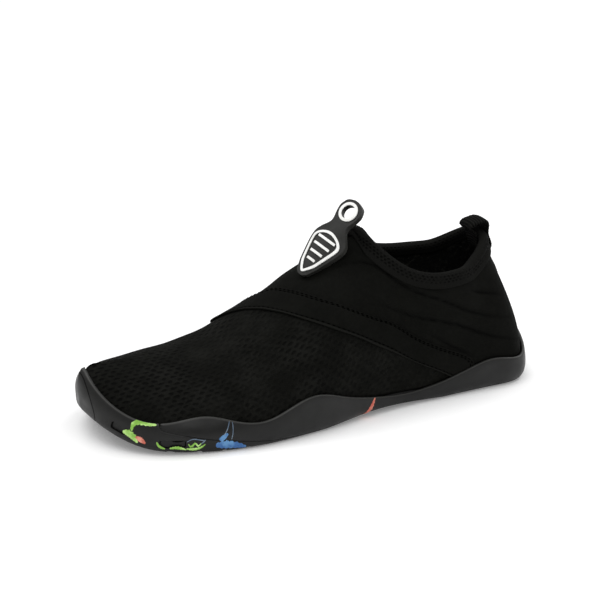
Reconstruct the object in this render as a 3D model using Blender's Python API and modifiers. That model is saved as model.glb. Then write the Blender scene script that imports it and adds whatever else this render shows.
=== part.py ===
"""A slip-on water shoe for the left foot, in metres. +X is the toe, +Y the outer side, +Z up."""

from math import atan2, cos, pi, radians, sin

import bmesh
import bpy
import numpy as np
from mathutils import Matrix, Vector

# Upper
UPPER_LENGTH = 0.262
BALL_HALF_WIDTH = 0.047
THROAT_HEIGHT = 0.096
TOE_RISE = 0.0147
UPPER_WALL = 0.0018

# Sole
SOLE_THICKNESS = 0.007
RUBBER_OUT = 0.0022
RUBBER_LEAST = 0.0019
GROUND_INSET = 0.003
GROUND_BULGE = 0.008
INSOLE_THICKNESS = 0.003
WRAP_HEIGHT = 0.041
FLEX_GROOVE_WIDTH = 0.0026
FLEX_GROOVE_DEPTH = 0.0015
WRAP_GROOVE_RADIUS = 0.0007
DRAIN_LENGTH = 0.0145
FRONT_DRAIN_LENGTH = 0.0098
DRAIN_HEIGHT = 0.0044
DRAIN_DEPTH = 0.0013

# Fabric pieces on the upper
BAND_THICKNESS = 0.0009
BINDING_THICKNESS = 0.0008
BINDING_OUTSIDE = 0.0075
BINDING_INSIDE = 0.005
TAPE_WIDTH = 0.014
TAPE_THICKNESS = 0.0012
TAPE_LOOP = 0.0066
TAPE_REACH = 0.008
TAPE_INSIDE = 0.008

# Rubber pull tab
TAB_LENGTH = 0.051
TAB_HALF_WIDTH = 0.0118
TAB_THICKNESS = 0.0034
TAB_BEND_RADIUS = 0.03
TAB_SLOPE = 46
TAB_TURN = 24
TAB_ROW = 6.61
TAB_SIDE = 0.006
EYE_HOLE_RADIUS = 0.004
TRIM_THICKNESS = 0.0007
TRIM_GAP = 0.00015
RING_WIDTH = 0.0018
FRAME_INSET = 0.0017
FRAME_WIDTH = 0.0016
BAR_WIDTH = 0.0015

GAP = 0.0003

# Sections from the back of the heel (row 0) to the tip of the toe (row 12). along is a share of
# UPPER_LENGTH, outer and inner are half widths as shares of BALL_HALF_WIDTH, rise is the height of
# the ground side as a share of TOE_RISE. lean, low_pull, tilt and high_pull bend the wall.
ROWS = 12
SECTION = {
    "along": (0, 0.026, 0.105, 0.21, 0.32, 0.43, 0.54, 0.65, 0.75, 0.84, 0.915, 0.972, 1),
    "outer": (0, 0.57, 0.70, 0.72, 0.76, 0.86, 0.99, 1.07, 1.05, 0.945, 0.73, 0.395, -0.06),
    "inner": (0, 0.43, 0.63, 0.66, 0.62, 0.60, 0.73, 0.825, 0.915, 0.935, 0.855, 0.555, 0.06),
    "rise": (0.03, 0, 0, 0, 0.14, 0.18, 0.02, 0, 0, 0.07, 0.19, 0.62, 1),
    "lean": (7, 10, 11, 12, 13.5, 14, 14, 12, 13, 13, 12, 10, 10),
    "low_pull": (0.35, 0.35, 0.35, 0.35, 0.36, 0.405, 0.47, 0.41, 0.345, 0.41, 0.51, 0.6, 0.69),
    "tilt": (78, 74, 70, 66, 54, 9, 0, 0, 0, 0, 0, 0, 0),
    "high_pull": (0.36, 0.36, 0.353, 0.35, 0.375, 0.43, 0.49, 0.41, 0.336, 0.38, 0.5, 0.66, 0.74),
}

# The collar runs over rows 0 to 5 and the centre line of the instep over rows 5 to 12.
COLLAR_ROWS = 5
COLLAR = {
    "along": (0.076, 0.087, 0.139, 0.191, 0.308, 0.38),
    "height": (0.871, 0.841, 0.76, 0.74, 0.803, 0.998),
    "out": (0, 0.27, 0.47, 0.595, 0.557, 0),
}
INSTEP = {
    "along": (0.38, 0.465, 0.55, 0.636, 0.702, 0.773, 0.88, 0.97),
    "height": (0.998, 0.86, 0.721, 0.592, 0.49, 0.432, 0.418, 0.43),
    "out": (0, -0.021, -0.043, -0.064, -0.085, -0.106, -0.128, -0.128),
}

# Rubber rim as a share of WRAP_HEIGHT, and the line where sidewall and outsole part.
RIM_ROWS = (0, 1, 2, 3, 4, 4.8, 5.6, 6.4, 7.2, 8, 8.8, 9.6, 10.4, 11.2, 12)
RIM_SHARES = (0.70, 0.41, 0.46, 0.32, 0.21, 0.28, 0.436, 0.568, 0.383, 0.406, 0.498, 0.447, 0.505,
              0.735, 0.965)
PARTING_ROWS = (0, 6.5, 7.25, 8, 8.75, 9.25, 9.75)
PARTING_SHARES = (0.04, 0.045, 0.08, 0.15, 0.215, 0.27, 0.325)

# The band over the instep: (row, share up the wall) along its lower and upper edges. A share above 1
# is past the crest: it stands for 2 less that share, on the inner side.
BAND_LOW = ((2.99, 0.063), (3.24, 0.126), (3.73, 0.214), (4.22, 0.258), (4.78, 0.308), (5.3, 0.365),
            (5.86, 0.428), (6.35, 0.516), (6.78, 0.623), (7.09, 0.711), (7.43, 0.811), (7.72, 0.91),
            (7.95, 1), (8.05, 1.08), (8.12, 1.16), (8.17, 1.25), (8.15, 1.34), (7.95, 1.43), (7.5, 1.52),
            (6.9, 1.6), (6.2, 1.67), (5.4, 1.73), (4.6, 1.79), (4, 1.85), (3.55, 1.92), (3.4, 1.945))
BAND_HIGH = ((2.5, 0.09), (2.57, 0.201), (2.77, 0.264), (3.18, 0.345), (3.6, 0.415), (4.16, 0.45),
             (4.75, 0.468), (5.18, 0.495), (5.52, 0.522), (5.89, 0.57), (6.29, 0.652), (6.54, 0.73),
             (6.75, 0.811), (6.97, 0.91), (7.13, 1), (7.28, 1.07), (7.4, 1.14), (7.46, 1.21), (7.4, 1.29),
             (7.1, 1.36), (6.6, 1.43), (6, 1.49), (5.3, 1.53), (4.5, 1.56), (3.9, 1.6), (3.4, 1.68),
             (3.1, 1.77), (2.95, 1.88))

# The heel loop: forward in shares of TAPE_REACH, up in shares of TAPE_LOOP, and its turn in degrees.
TAPE_ARCH = ((-0.36, 0.5, 180), (-0.34, 0.95, 150), (-0.1, 1.12, 100), (0.5, 1.05, 85),
             (0.92, 0.86, 60), (1.02, 0.62, 0), (0.9, 0.4, -60), (0.62, 0.12, -50))

# The tab's outline and the printed frame on it, from tip to eye, in shares of its length and width.
TAB_ALONG = (0, 0.02, 0.06, 0.13, 0.22, 0.34, 0.46, 0.52, 0.58, 0.64, 0.7, 0.76, 0.82, 0.88, 0.94, 0.98, 1)
TAB_WIDTHS = (0.12, 0.27, 0.4, 0.55, 0.7, 0.88, 1, 0.96, 0.78, 0.56, 0.48, 0.55, 0.62, 0.64, 0.55, 0.36,
              0.12)
TAB_ROOT = 0.3
EYE_CENTRE = 0.851
FRAME_ALONG = (0, 0.02, 0.06, 0.13, 0.22, 0.34, 0.46, 0.52, 0.565, 0.59, 0.6)
FRAME_WIDTHS = (0, 0.27, 0.4, 0.55, 0.7, 0.88, 1, 0.92, 0.7, 0.4, 0)
BAR_ALONG = (0.2, 0.29, 0.38, 0.47)
BAR_WIDTHS = (0.25, 0.38, 0.5, 0.55)

# Tread
GROOVES_ALONG = (0.09, 0.14, 0.19, 0.62, 0.67, 0.72, 0.77, 0.82, 0.87)
DRAINS = (("front_drain", 10.7, 0.6, FRONT_DRAIN_LENGTH), ("side_drain", 9.44, 0.5, DRAIN_LENGTH))
TOE_PANEL = ((11.4, 0.1), (11.43, 0.3), (11.5, 0.5), (11.62, 0.66), (11.78, 0.77), (12, 0.82),
             (12.22, 0.77), (12.38, 0.66), (12.5, 0.5), (12.57, 0.3), (12.6, 0.1))

THROAT_SPREAD = (-1.4, -0.9, -0.4, 0, 0.4, 0.9, 1.4)

COLUMNS_PER_ROW = 4
WALL_STEPS = 9
BAND_STEPS = 3
BAND_STATIONS = 49
SEAM_ROW_SHARE = 0.36
BINDING_STEPS = (1, 0.5)

for thing in list(bpy.data.objects):
    bpy.data.objects.remove(thing, do_unlink=True)


def collection(name):
    made = bpy.data.collections.new(name)
    bpy.context.scene.collection.children.link(made)
    return made


shoe = collection("water_shoe")
cutters = collection("cutters")
cutters.hide_render = True


def material(name, colour, roughness):
    made = bpy.data.materials.new(name)
    made.use_nodes = True
    shader = made.node_tree.nodes["Principled BSDF"]
    shader.inputs["Base Color"].default_value = (*colour, 1)
    shader.inputs["Roughness"].default_value = roughness
    shader.inputs["Metallic"].default_value = 0
    return made


class Curve:
    """A smooth curve through values at rising rows. A closed one repeats after its period."""

    def __init__(self, rows, values, period=0):
        self.rows = np.array(rows, float)
        self.values = np.array(values, float)
        self.period = period
        if period:
            self.rows = np.append(self.rows, self.rows[0] + period)
            self.values = np.append(self.values, self.values[0])
        step = np.diff(self.rows)
        slope = np.diff(self.values) / step
        count = len(self.rows)
        system = np.eye(count)
        right = np.zeros(count)
        for i in range(1, count - 1):
            system[i, i - 1:i + 2] = step[i - 1], 2 * (step[i - 1] + step[i]), step[i]
            right[i] = 6 * (slope[i] - slope[i - 1])
        if period:
            system[0, 0] = 2 * (step[0] + step[-1])
            system[0, 1] = step[0]
            system[0, -2] = step[-1]
            right[0] = 6 * (slope[0] - slope[-1])
            system[-1, 0] = -1
        self.bend = np.linalg.solve(system, right)

    def __call__(self, row):
        row = np.asarray(row, float)
        if self.period:
            row = (row - self.rows[0]) % self.period + self.rows[0]
        i = np.clip(np.searchsorted(self.rows, row, side="right") - 1, 0, len(self.rows) - 2)
        step = self.rows[i + 1] - self.rows[i]
        b = (row - self.rows[i]) / step
        a = 1 - b
        cubic = (a**3 - a) * self.bend[i] + (b**3 - b) * self.bend[i + 1]
        return a * self.values[i] + b * self.values[i + 1] + cubic * step**2 / 6

    def slope(self, row):
        small = 1e-4
        return (self(np.asarray(row) + small) - self(np.asarray(row) - small)) / (2 * small)


def round_trip(outer, inner=None, rows=None):
    """A closed curve down the outer side and back up the inner one."""
    rows = np.arange(len(outer)) if rows is None else np.array(rows, float)
    inner = outer if inner is None else inner
    back = 2 * rows[-1] - rows[-2:0:-1]
    return Curve(np.append(rows, back), list(outer) + list(inner[-2:0:-1]), 2 * rows[-1])


def shares(values, size, sign=1):
    return [sign * size * value for value in values]


def along(values):
    return [(value - 0.5) * UPPER_LENGTH for value in values]


outline_x = round_trip(along(SECTION["along"]))
outline_y = round_trip(shares(SECTION["outer"], BALL_HALF_WIDTH),
                       shares(SECTION["inner"], BALL_HALF_WIDTH, -1))
rise = round_trip(shares(SECTION["rise"], TOE_RISE))
lean = round_trip(SECTION["lean"])
low_pull = round_trip(SECTION["low_pull"])
tilt = round_trip(SECTION["tilt"])
high_pull = round_trip(SECTION["high_pull"])
collar = (round_trip(along(COLLAR["along"])),
          round_trip(shares(COLLAR["out"], BALL_HALF_WIDTH), shares(COLLAR["out"], BALL_HALF_WIDTH, -1)),
          round_trip(shares(COLLAR["height"], THROAT_HEIGHT)))
instep_rows = range(COLLAR_ROWS, ROWS + 1)
instep = (Curve(instep_rows, along(INSTEP["along"])),
          Curve(instep_rows, shares(INSTEP["out"], BALL_HALF_WIDTH)),
          Curve(instep_rows, shares(INSTEP["height"], THROAT_HEIGHT)))
rim_height = round_trip(shares(RIM_SHARES, WRAP_HEIGHT), rows=RIM_ROWS)


def unit(vectors):
    return vectors / np.linalg.norm(vectors, axis=-1, keepdims=True)


def joined(*parts):
    return np.stack(np.broadcast_arrays(*parts), -1)


def row_of(r):
    """The row from the heel, 0 to 12, of a place r on the way round, 0 to 24."""
    r = np.asarray(r, float) % (2 * ROWS)
    return np.where(r > ROWS, 2 * ROWS - r, r)


def eased(row):
    """Slows the top edge down at the throat, where collar and instep meet in a corner."""
    reach = 2
    first, last = COLLAR_ROWS - reach, COLLAR_ROWS + reach
    a = np.clip((row - first) / reach, 0, 1)
    b = np.clip((last - row) / reach, 0, 1)
    before = first + reach * a * (1 + a - a * a)
    after = last - reach * b * (1 + b - b * b)
    corner = np.where(row < COLLAR_ROWS, before, after)
    return np.where((row > first) & (row < last), corner, row)


def top_edge(r):
    r = np.asarray(r, float) % (2 * ROWS)
    row = row_of(r)
    place = eased(row)
    on_collar = np.minimum(place, COLLAR_ROWS)
    on_collar = np.where(r > ROWS, 2 * COLLAR_ROWS - on_collar, on_collar)
    on_instep = np.maximum(place, COLLAR_ROWS)
    return joined(*[np.where(row < COLLAR_ROWS, a(on_collar), b(on_instep))
                    for a, b in zip(collar, instep)])


def outward(r):
    """The level direction out of the outline."""
    across = joined(-outline_y.slope(r), outline_x.slope(r), 0)
    return unit(across)


def ground(r):
    """Height of the sole's underside. The heel and the forefoot rest flat on the floor."""
    flat = 0.02 * TOE_RISE
    return np.maximum(rise(r) - flat, 0)


def feather(r):
    """The lower edge of the upper."""
    return joined(outline_x(r), outline_y(r), ground(r) + SOLE_THICKNESS)


def high_handle(r):
    """Where the wall is pulled to below its top edge."""
    out = outward(r)
    high = top_edge(r)
    span = high - feather(r)
    tilted = np.radians(np.clip(tilt(r), 0, 90))
    place = np.maximum(eased(row_of(r)), COLLAR_ROWS)
    slope = instep[2].slope(place) / instep[0].slope(place)
    crest = np.clip(1 - tilted / radians(60), 0, 1)
    fall = slope * out[..., 0] * crest - np.sin(tilted)
    over = joined(out[..., 0] * np.cos(tilted), out[..., 1] * np.cos(tilted), fall)
    corner = 0.4 * np.exp(-((row_of(r) - COLLAR_ROWS) / 1.3) ** 2)
    over = unit(over + corner[..., None] * joined(np.ones_like(slope), 0, slope))
    width = np.hypot(span[..., 0], span[..., 1])
    reach = high_pull(r) * (width * np.cos(tilted) + span[..., 2] * np.sin(tilted))
    return high + reach[..., None] * over


def wall(r, v):
    """The outside of the upper: v is 0 at the sole and 1 at the collar or the instep line."""
    r = np.asarray(r, float)
    v = np.asarray(v, float)[..., None]
    low = feather(r)
    high = top_edge(r)
    out = outward(r)
    leaning = np.radians(lean(r))
    up = joined(out[..., 0] * np.sin(leaning), out[..., 1] * np.sin(leaning), np.cos(leaning))
    first = low + (low_pull(r) * (high - low)[..., 2])[..., None] * up
    # Below the throat's corner the pull is shared with the rows beside it, so that no edge shows.
    beside = sum(high_handle(r + step) for step in THROAT_SPREAD) / len(THROAT_SPREAD)
    shared = np.exp(-((row_of(r) - COLLAR_ROWS) / 1.3) ** 2)[..., None]
    second = high_handle(r) * (1 - shared) + beside * shared
    w = 1 - v
    return low * w**3 + 3 * first * v * w**2 + 3 * second * v**2 * w + high * v**3


def skin(r, v, offset):
    """A point that lies offset away from the outside of the upper, along its normal."""
    r, v = np.broadcast_arrays(np.asarray(r, float), np.asarray(v, float))
    small = 1e-3
    v_near = np.clip(v, small, 1 - 8 * small)
    along_r = wall(r + small, v_near) - wall(r - small, v_near)
    along_v = wall(r, v_near + small) - wall(r, v_near - small)
    normal = unit(np.cross(along_v, along_r))
    crest = (v > 1 - small) & (row_of(r) > COLLAR_ROWS - small)
    place = np.maximum(eased(row_of(r)), COLLAR_ROWS)
    slope = instep[2].slope(place) / instep[0].slope(place)
    ridge = unit(joined(-slope, 0 * slope, 1 + 0 * slope))
    normal = np.where(crest[..., None], ridge, normal)
    return wall(r, v) + normal * np.asarray(offset, float)[..., None]


def share_at_height(r, height):
    """The share v up the wall at which it is this high."""
    steps = np.linspace(0, 1, 61)
    r, height = np.broadcast_arrays(np.asarray(r, float), np.asarray(height, float))
    heights = wall(r[..., None], steps + 0 * r[..., None])[..., 2]
    flat = heights.reshape(-1, len(steps))
    found = [np.interp(h, np.maximum.accumulate(row), steps) for h, row in zip(height.ravel(), flat)]
    return np.array(found).reshape(r.shape)


def share_below_top(r, distance):
    """The share v that lies this far down the wall from its top edge."""
    steps = np.linspace(1, 0, 81)
    r, distance = np.broadcast_arrays(np.asarray(r, float), np.asarray(distance, float))
    points = wall(r[..., None], steps + 0 * r[..., None])
    lengths = np.linalg.norm(np.diff(points, axis=-2), axis=-1).cumsum(-1).reshape(-1, len(steps) - 1)
    found = [np.interp(d, np.append(0, row), steps) for d, row in zip(distance.ravel(), lengths)]
    return np.array(found).reshape(r.shape)


def rim_point(r):
    """The outer edge of the rubber's rim."""
    return wall(r, share_at_height(r, rim_height(r))) + outward(r) * RUBBER_OUT


def rubber(r, w):
    """The outside of the rubber: w is 0 at the ground edge and 1 at the rim."""
    r, w = np.broadcast_arrays(np.asarray(r, float), np.asarray(w, float))
    out = outward(r)
    rim = rim_point(r)
    foot = joined(outline_x(r), outline_y(r), ground(r)) - out * GROUND_INSET
    height = (rim - foot)[..., 2:]
    low_pull_to = foot + out * GROUND_BULGE
    high_pull_to = rim + out * height * 0.1 - height * np.array((0, 0, 0.45))
    w = w[..., None]
    u = 1 - w
    outside = foot * u**3 + 3 * low_pull_to * w * u**2 + 3 * high_pull_to * w**2 * u + rim * w**3
    covered = wall(r, share_at_height(r, outside[..., 2])) + out * RUBBER_LEAST
    short = np.maximum(((covered - outside) * out).sum(-1), 0)
    fade = np.clip((outside[..., 2] - foot[..., 2]) / SOLE_THICKNESS, 0, 1)
    return outside + out * (short * fade)[..., None]


def rubber_share(r, height):
    """The share w up the rubber at which it is this high."""
    steps = np.linspace(0, 1, 61)
    heights = rubber(np.asarray(r, float)[:, None], steps[None, :])[..., 2]
    return np.array([np.interp(h, np.maximum.accumulate(row), steps) for h, row in zip(height, heights)])


def parting_height(r):
    """Where the outsole ends and the sidewall begins, above the floor."""
    row = row_of(r)
    share = np.interp(row, PARTING_ROWS, PARTING_SHARES)
    return np.where(row > PARTING_ROWS[-1], rim_height(r), ground(r) + share * WRAP_HEIGHT)


def grid_faces(rows, columns, closed=False):
    faces = []
    for i in range(rows if closed else rows - 1):
        for j in range(columns - 1):
            k = (i + 1) % rows
            faces.append((i * columns + j, k * columns + j, k * columns + j + 1, i * columns + j + 1))
    return faces


def add_mesh(name, points, faces, kind, group=shoe, weld=1e-6):
    """A named solid from points and faces. Points that coincide are welded."""
    mesh = bpy.data.meshes.new(name)
    mesh.from_pydata([tuple(point) for point in points], [], faces)
    form = bmesh.new()
    form.from_mesh(mesh)
    bmesh.ops.remove_doubles(form, verts=form.verts, dist=weld)
    bmesh.ops.dissolve_degenerate(form, edges=form.edges, dist=weld)
    bmesh.ops.recalc_face_normals(form, faces=form.faces)
    if form.calc_volume(signed=True) < 0 and all(edge.is_manifold for edge in form.edges):
        bmesh.ops.reverse_faces(form, faces=form.faces)
    form.to_mesh(mesh)
    form.free()
    mesh.shade_smooth()
    mesh.set_sharp_from_angle(angle=radians(40))
    made = bpy.data.objects.new(name, mesh)
    if kind:
        mesh.materials.append(kind)
    group.objects.link(made)
    return made


def add_loop_solid(name, rings, kind, closed=True):
    """A solid from rings of points: each ring is one closed section, in order along the piece."""
    count = len(rings[0])
    points = np.concatenate(rings)
    faces = []
    for i in range(len(rings) if closed else len(rings) - 1):
        k = (i + 1) % len(rings)
        for j in range(count):
            m = (j + 1) % count
            faces.append((i * count + j, k * count + j, k * count + m, i * count + m))
    if not closed:
        faces.append(tuple(range(count)))
        last = (len(rings) - 1) * count
        faces.append(tuple(last + j for j in reversed(range(count))))
    return add_mesh(name, points, faces, kind)


def cut(target, cutter, solver="EXACT"):
    cutter.display_type = "WIRE"
    cutter.hide_render = True
    boolean = target.modifiers.new(cutter.name, "BOOLEAN")
    boolean.operation = "DIFFERENCE"
    boolean.object = cutter
    boolean.solver = solver


dark_mesh = material("dark_mesh", (0.012, 0.012, 0.011), 0.85)
smooth_knit = material("smooth_knit", (0.014, 0.014, 0.013), 0.7)
elastic = material("elastic", (0.01, 0.01, 0.01), 0.9)
webbing = material("webbing", (0.012, 0.012, 0.011), 0.8)
sole_rubber = material("sole_rubber", (0.02, 0.02, 0.018), 0.45)
wall_rubber = material("wall_rubber", (0.03, 0.03, 0.028), 0.4)
tab_rubber = material("tab_rubber", (0.04, 0.04, 0.037), 0.5)
white_print = material("white_print", (0.85, 0.85, 0.83), 0.5)
foam = material("foam", (0.015, 0.015, 0.015), 0.9)

# Columns of points around the shoe, with an extra pair where the sidewall's ends meet the outsole.
END_STEP = 0.03
around = np.arange(0, 2 * ROWS, 1 / COLUMNS_PER_ROW)
wrap_start = PARTING_ROWS[-1] + END_STEP
around = np.sort(np.append(around, (wrap_start, 2 * ROWS - wrap_start)))
half_way = len(around) // 2


def ladder(edge_start, up=True):
    """Faces that fill an outline of the columns around the shoe, rung by rung from heel to toe."""
    faces = []
    count = len(around)
    for i in range(half_way):
        a, b = edge_start + i, edge_start + i + 1
        c, d = edge_start + (count - i - 1) % count, edge_start + (count - i) % count
        rung = [a, b, c, d] if up else [d, c, b, a]
        faces.append(tuple(dict.fromkeys(rung)))
    return faces


def upper():
    """The shell of the last, open at the collar and underneath."""
    steps = 1 - (1 - np.linspace(0, 1, WALL_STEPS + 1)) ** 1.3
    points = wall(around[:, None], steps[None, :]).reshape(-1, 3)
    made = add_mesh("upper", points, grid_faces(len(around), len(steps), closed=True), dark_mesh)
    shell = made.modifiers.new("wall", "SOLIDIFY")
    shell.thickness = UPPER_WALL
    shell.offset = -1
    shell.use_even_offset = True
    shell.use_rim = True
    return made


def inner_line(r, height, offset):
    """A point of the line between rubber and upper, at a height above or below the feather edge."""
    low = feather(r)
    on_wall = skin(r, share_at_height(r, height), offset)
    on_wall[..., 2] = np.maximum(height, low[..., 2])
    below = low + outward(r) * np.asarray(offset)[..., None]
    below[..., 2] = height
    return np.where((height >= low[..., 2])[..., None], on_wall, below)


def outsole():
    """The tread plate, which turns up around the toe in one piece."""
    parting = parting_height(around)
    plate_top = ground(around) + SOLE_THICKNESS - GAP
    out_steps = 5
    in_steps = 5
    top_share = rubber_share(around, parting)
    sections = []
    for j in range(out_steps + 1):
        sections.append(rubber(around, top_share * j / out_steps))
    beside_upper = np.where(parting > plate_top, 2.2 * GAP, 0)
    for j in range(in_steps + 1):
        height = parting + (plate_top - parting) * j / in_steps
        sections.append(inner_line(around, height, beside_upper))
    points = np.concatenate(sections)
    count = len(around)
    faces = []
    for j in range(len(sections) - 1):
        for i in range(count):
            k = (i + 1) % count
            faces.append((j * count + i, j * count + k, (j + 1) * count + k, (j + 1) * count + i))
    faces += ladder(0, up=False)
    faces += ladder((len(sections) - 1) * count)
    return add_mesh("outsole", points, faces, sole_rubber)


def sidewall():
    """The moulded band along both sides and the heel, from the parting line up to its wavy rim."""
    end = PARTING_ROWS[-1]
    count = end * COLUMNS_PER_ROW
    side = np.clip(np.arange(-count, count + 1) / COLUMNS_PER_ROW, END_STEP - end, end - END_STEP)
    low = parting_height(side) + 2 * GAP
    high = np.maximum(rim_height(side), low + GAP)
    rings = []
    shares_up = np.linspace(0, 1, 6)
    low_share = rubber_share(side, low)
    outer = [rubber(side, low_share + (1 - low_share) * s) for s in shares_up]
    inner = [inner_line(side, high + (low - high) * s, GAP) for s in np.linspace(0, 1, 5)]
    stack = np.stack(outer + inner, axis=1)
    for ring in stack:
        rings.append(ring)
    return add_loop_solid("sidewall", rings, wall_rubber, closed=False)


def insole():
    """The loose footbed inside the upper."""
    inset = UPPER_WALL + 2 * GAP
    low = feather(around) - outward(around) * inset
    high = low + np.array((0, 0, INSOLE_THICKNESS))
    count = len(around)
    faces = [(i, (i + 1) % count, (i + 1) % count + count, i + count) for i in range(count)]
    faces += ladder(0, up=False)
    faces += ladder(count)
    return add_mesh("insole", np.concatenate((low, high)), faces, foam)


def seam(table, count):
    """Places (r, v) along a seam of the band, evenly spread from its outer end to its inner end."""
    rows, shares_over = np.array(table).T
    at = np.append(0, np.hypot(np.diff(rows) * SEAM_ROW_SHARE, np.diff(shares_over)).cumsum())
    spread = np.linspace(0, at[-1], count)
    return np.stack((Curve(at, rows)(spread), Curve(at, shares_over)(spread)), -1)


def band():
    """The stitched band that runs over the instep and down both sides to the sole."""
    low, high = seam(BAND_LOW, BAND_STATIONS), seam(BAND_HIGH, BAND_STATIONS)
    steps = np.linspace(0, 1, BAND_STEPS + 1)[None, :]
    row = low[:, :1] + (high - low)[:, :1] * steps
    over = low[:, 1:] + (high - low)[:, 1:] * steps
    r = np.where(over > 1, 2 * ROWS - row, row)
    v = np.where(over > 1, 2 - over, over)
    clear = np.stack([share_at_height(line, rim_height(line) + 2 * GAP) for line in r])
    v = np.maximum(v, clear)
    under, top = skin(r, v, GAP), skin(r, v, GAP + BAND_THICKNESS)
    rings = np.concatenate((under, top[:, ::-1]), axis=1)
    return add_loop_solid("saddle_band", list(rings), smooth_knit, closed=False)


def settled(targets, places):
    """The places (r, v) on the wall nearest to the targets, found from a rough net of places."""
    r_net, v_net = np.meshgrid(places, np.linspace(0.3, 1, 36), indexing="ij")
    net = wall(r_net, v_net)
    nearest = [np.argmin(((net - target) ** 2).sum(-1)) for target in targets]
    r = r_net.ravel()[nearest]
    v = v_net.ravel()[nearest]
    small = 1e-3
    for _ in range(12):
        v_near = np.clip(v, small, 1 - small)
        here = wall(r, v)
        to_r = (wall(r + small, v_near) - wall(r - small, v_near)) / (2 * small)
        to_v = (wall(r, v_near + small) - wall(r, v_near - small)) / (2 * small)
        miss = targets - here
        rr, vv, rv = (to_r**2).sum(-1), (to_v**2).sum(-1), (to_r * to_v).sum(-1)
        mr, mv = (miss * to_r).sum(-1), (miss * to_v).sum(-1)
        whole = rr * vv - rv**2 + 1e-18
        r = np.clip(r + np.clip((mr * vv - mv * rv) / whole, -0.1, 0.1), places[0], places[-1])
        v = np.clip(v + np.clip((mv * rr - mr * rv) / whole, -0.05, 0.05), 0, 1)
    return r, v


def binding():
    """The elastic that is folded over the collar's edge."""
    fine = np.linspace(0, COLLAR_ROWS, 400)
    wide, close = 1 / COLUMNS_PER_ROW, 0.5 / COLUMNS_PER_ROW
    stations = np.append(np.arange(0, 3.5, wide), np.arange(3.5, COLLAR_ROWS + 0.01, close))
    rings = []
    for side in (1, -1):
        places = side * stations
        if side < 0:
            places = places[1:-1]
        edge = top_edge(places)
        step = 0.05
        ahead = np.interp(np.clip(eased(np.abs(places)) + step, 0, COLLAR_ROWS), eased(fine), fine)
        behind = np.interp(np.clip(eased(np.abs(places)) - step, 0, COLLAR_ROWS), eased(fine), fine)
        run = top_edge(side * ahead) - top_edge(side * behind)
        at_ends = (np.abs(places) < 1e-6) | (np.abs(places) > COLLAR_ROWS - 1e-6)
        run = np.where(at_ends[:, None], np.array((0, 1, 0)), run)
        normal = unit(skin(places, np.ones(len(places)), 1.0) - edge)
        down = unit(np.cross(normal, unit(run)))
        inside = wall(places, np.full(len(places), 0.8)) - edge
        down = down * np.sign((down * inside).sum(-1))[:, None]
        reach = np.arange(0, 7.01, 0.1) * side
        reach = np.sort(reach)

        def leg(distance, offset):
            r, v = settled(edge + distance * down, reach)
            return skin(r, v, offset)

        near, over = 1.5 * GAP, 2.5 * GAP
        lift = near + BINDING_THICKNESS
        deep = UPPER_WALL + 4 * GAP
        profile = [leg(share * BINDING_OUTSIDE, lift) for share in BINDING_STEPS]
        profile += [
            edge + normal * lift - down * over,
            edge - normal * UPPER_WALL / 2 - down * (over + BINDING_THICKNESS),
            edge - normal * (deep + BINDING_THICKNESS) - down * over,
            leg(BINDING_INSIDE / 2, -deep - BINDING_THICKNESS),
            leg(BINDING_INSIDE, -deep - BINDING_THICKNESS),
            leg(BINDING_INSIDE, -deep), leg(BINDING_INSIDE / 2, -deep),
            edge - normal * deep - down * over, edge + normal * near - down * over]
        profile += [leg(share * BINDING_OUTSIDE, near) for share in reversed(BINDING_STEPS)]
        stack = list(np.stack(profile, axis=1))
        rings += stack if side > 0 else stack[::-1]
    return add_loop_solid("collar_binding", rings, elastic)


def heel_tape():
    """Webbing that runs up the heel seam, loops over the collar and ends inside it."""
    across = np.linspace(-0.5, 0.5, 5) * TAPE_WIDTH
    r_net = np.linspace(-2, 2, 161)

    def on_heel(v, offset):
        line = wall(r_net, np.full(len(r_net), v))
        r = np.interp(across, line[:, 1], r_net)
        return skin(r, np.full(len(r), v), offset)

    edge = on_heel(1, 0)
    over_binding = 2.5 * GAP + BINDING_THICKNESS
    lower = share_at_height(np.array((0.0,)), rim_height(np.array((0.0,))) + 4 * GAP)[0]
    below = share_below_top(0.0, BINDING_OUTSIDE + 3 * TAPE_THICKNESS)
    beside = share_below_top(0.0, BINDING_OUTSIDE + TAPE_THICKNESS)
    inner = -(UPPER_WALL + 5 * GAP + BINDING_THICKNESS + TAPE_THICKNESS)
    path = []
    for v in np.linspace(lower, below, 6):
        path.append((on_heel(v, GAP * 1.2), on_heel(v, GAP * 1.2 + TAPE_THICKNESS)))
    for v in (beside, 0.99):
        path.append((on_heel(v, over_binding), on_heel(v, over_binding + TAPE_THICKNESS)))
    for back, rise_up, turn in TAPE_ARCH:
        middle = edge + np.array((back * TAPE_REACH, 0, rise_up * TAPE_LOOP))
        half = np.array((cos(radians(turn)), 0, sin(radians(turn)))) * TAPE_THICKNESS / 2
        path.append((middle - half, middle + half))
    for distance in (0.3, 1):
        v = share_below_top(0.0, distance * TAPE_INSIDE)
        path.append((on_heel(v, inner + TAPE_THICKNESS), on_heel(v, inner)))
    rings = [np.concatenate((near, far[::-1])) for near, far in path]
    return add_loop_solid("heel_tape", rings, webbing, closed=False)


slope, turn = radians(TAB_SLOPE), radians(TAB_TURN)
tab_up = np.array((-cos(slope), 0, sin(slope)))
upright = np.array((sin(slope), 0, cos(slope)))
tab_normal = upright * cos(turn) + np.array((0, sin(turn), 0))
tab_across = np.cross(tab_normal, tab_up)
tab_across = tab_across * np.sign(tab_across[1])
tab_foot = skin(TAB_ROW, share_below_top(TAB_ROW, TAB_SIDE), GAP)


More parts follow.
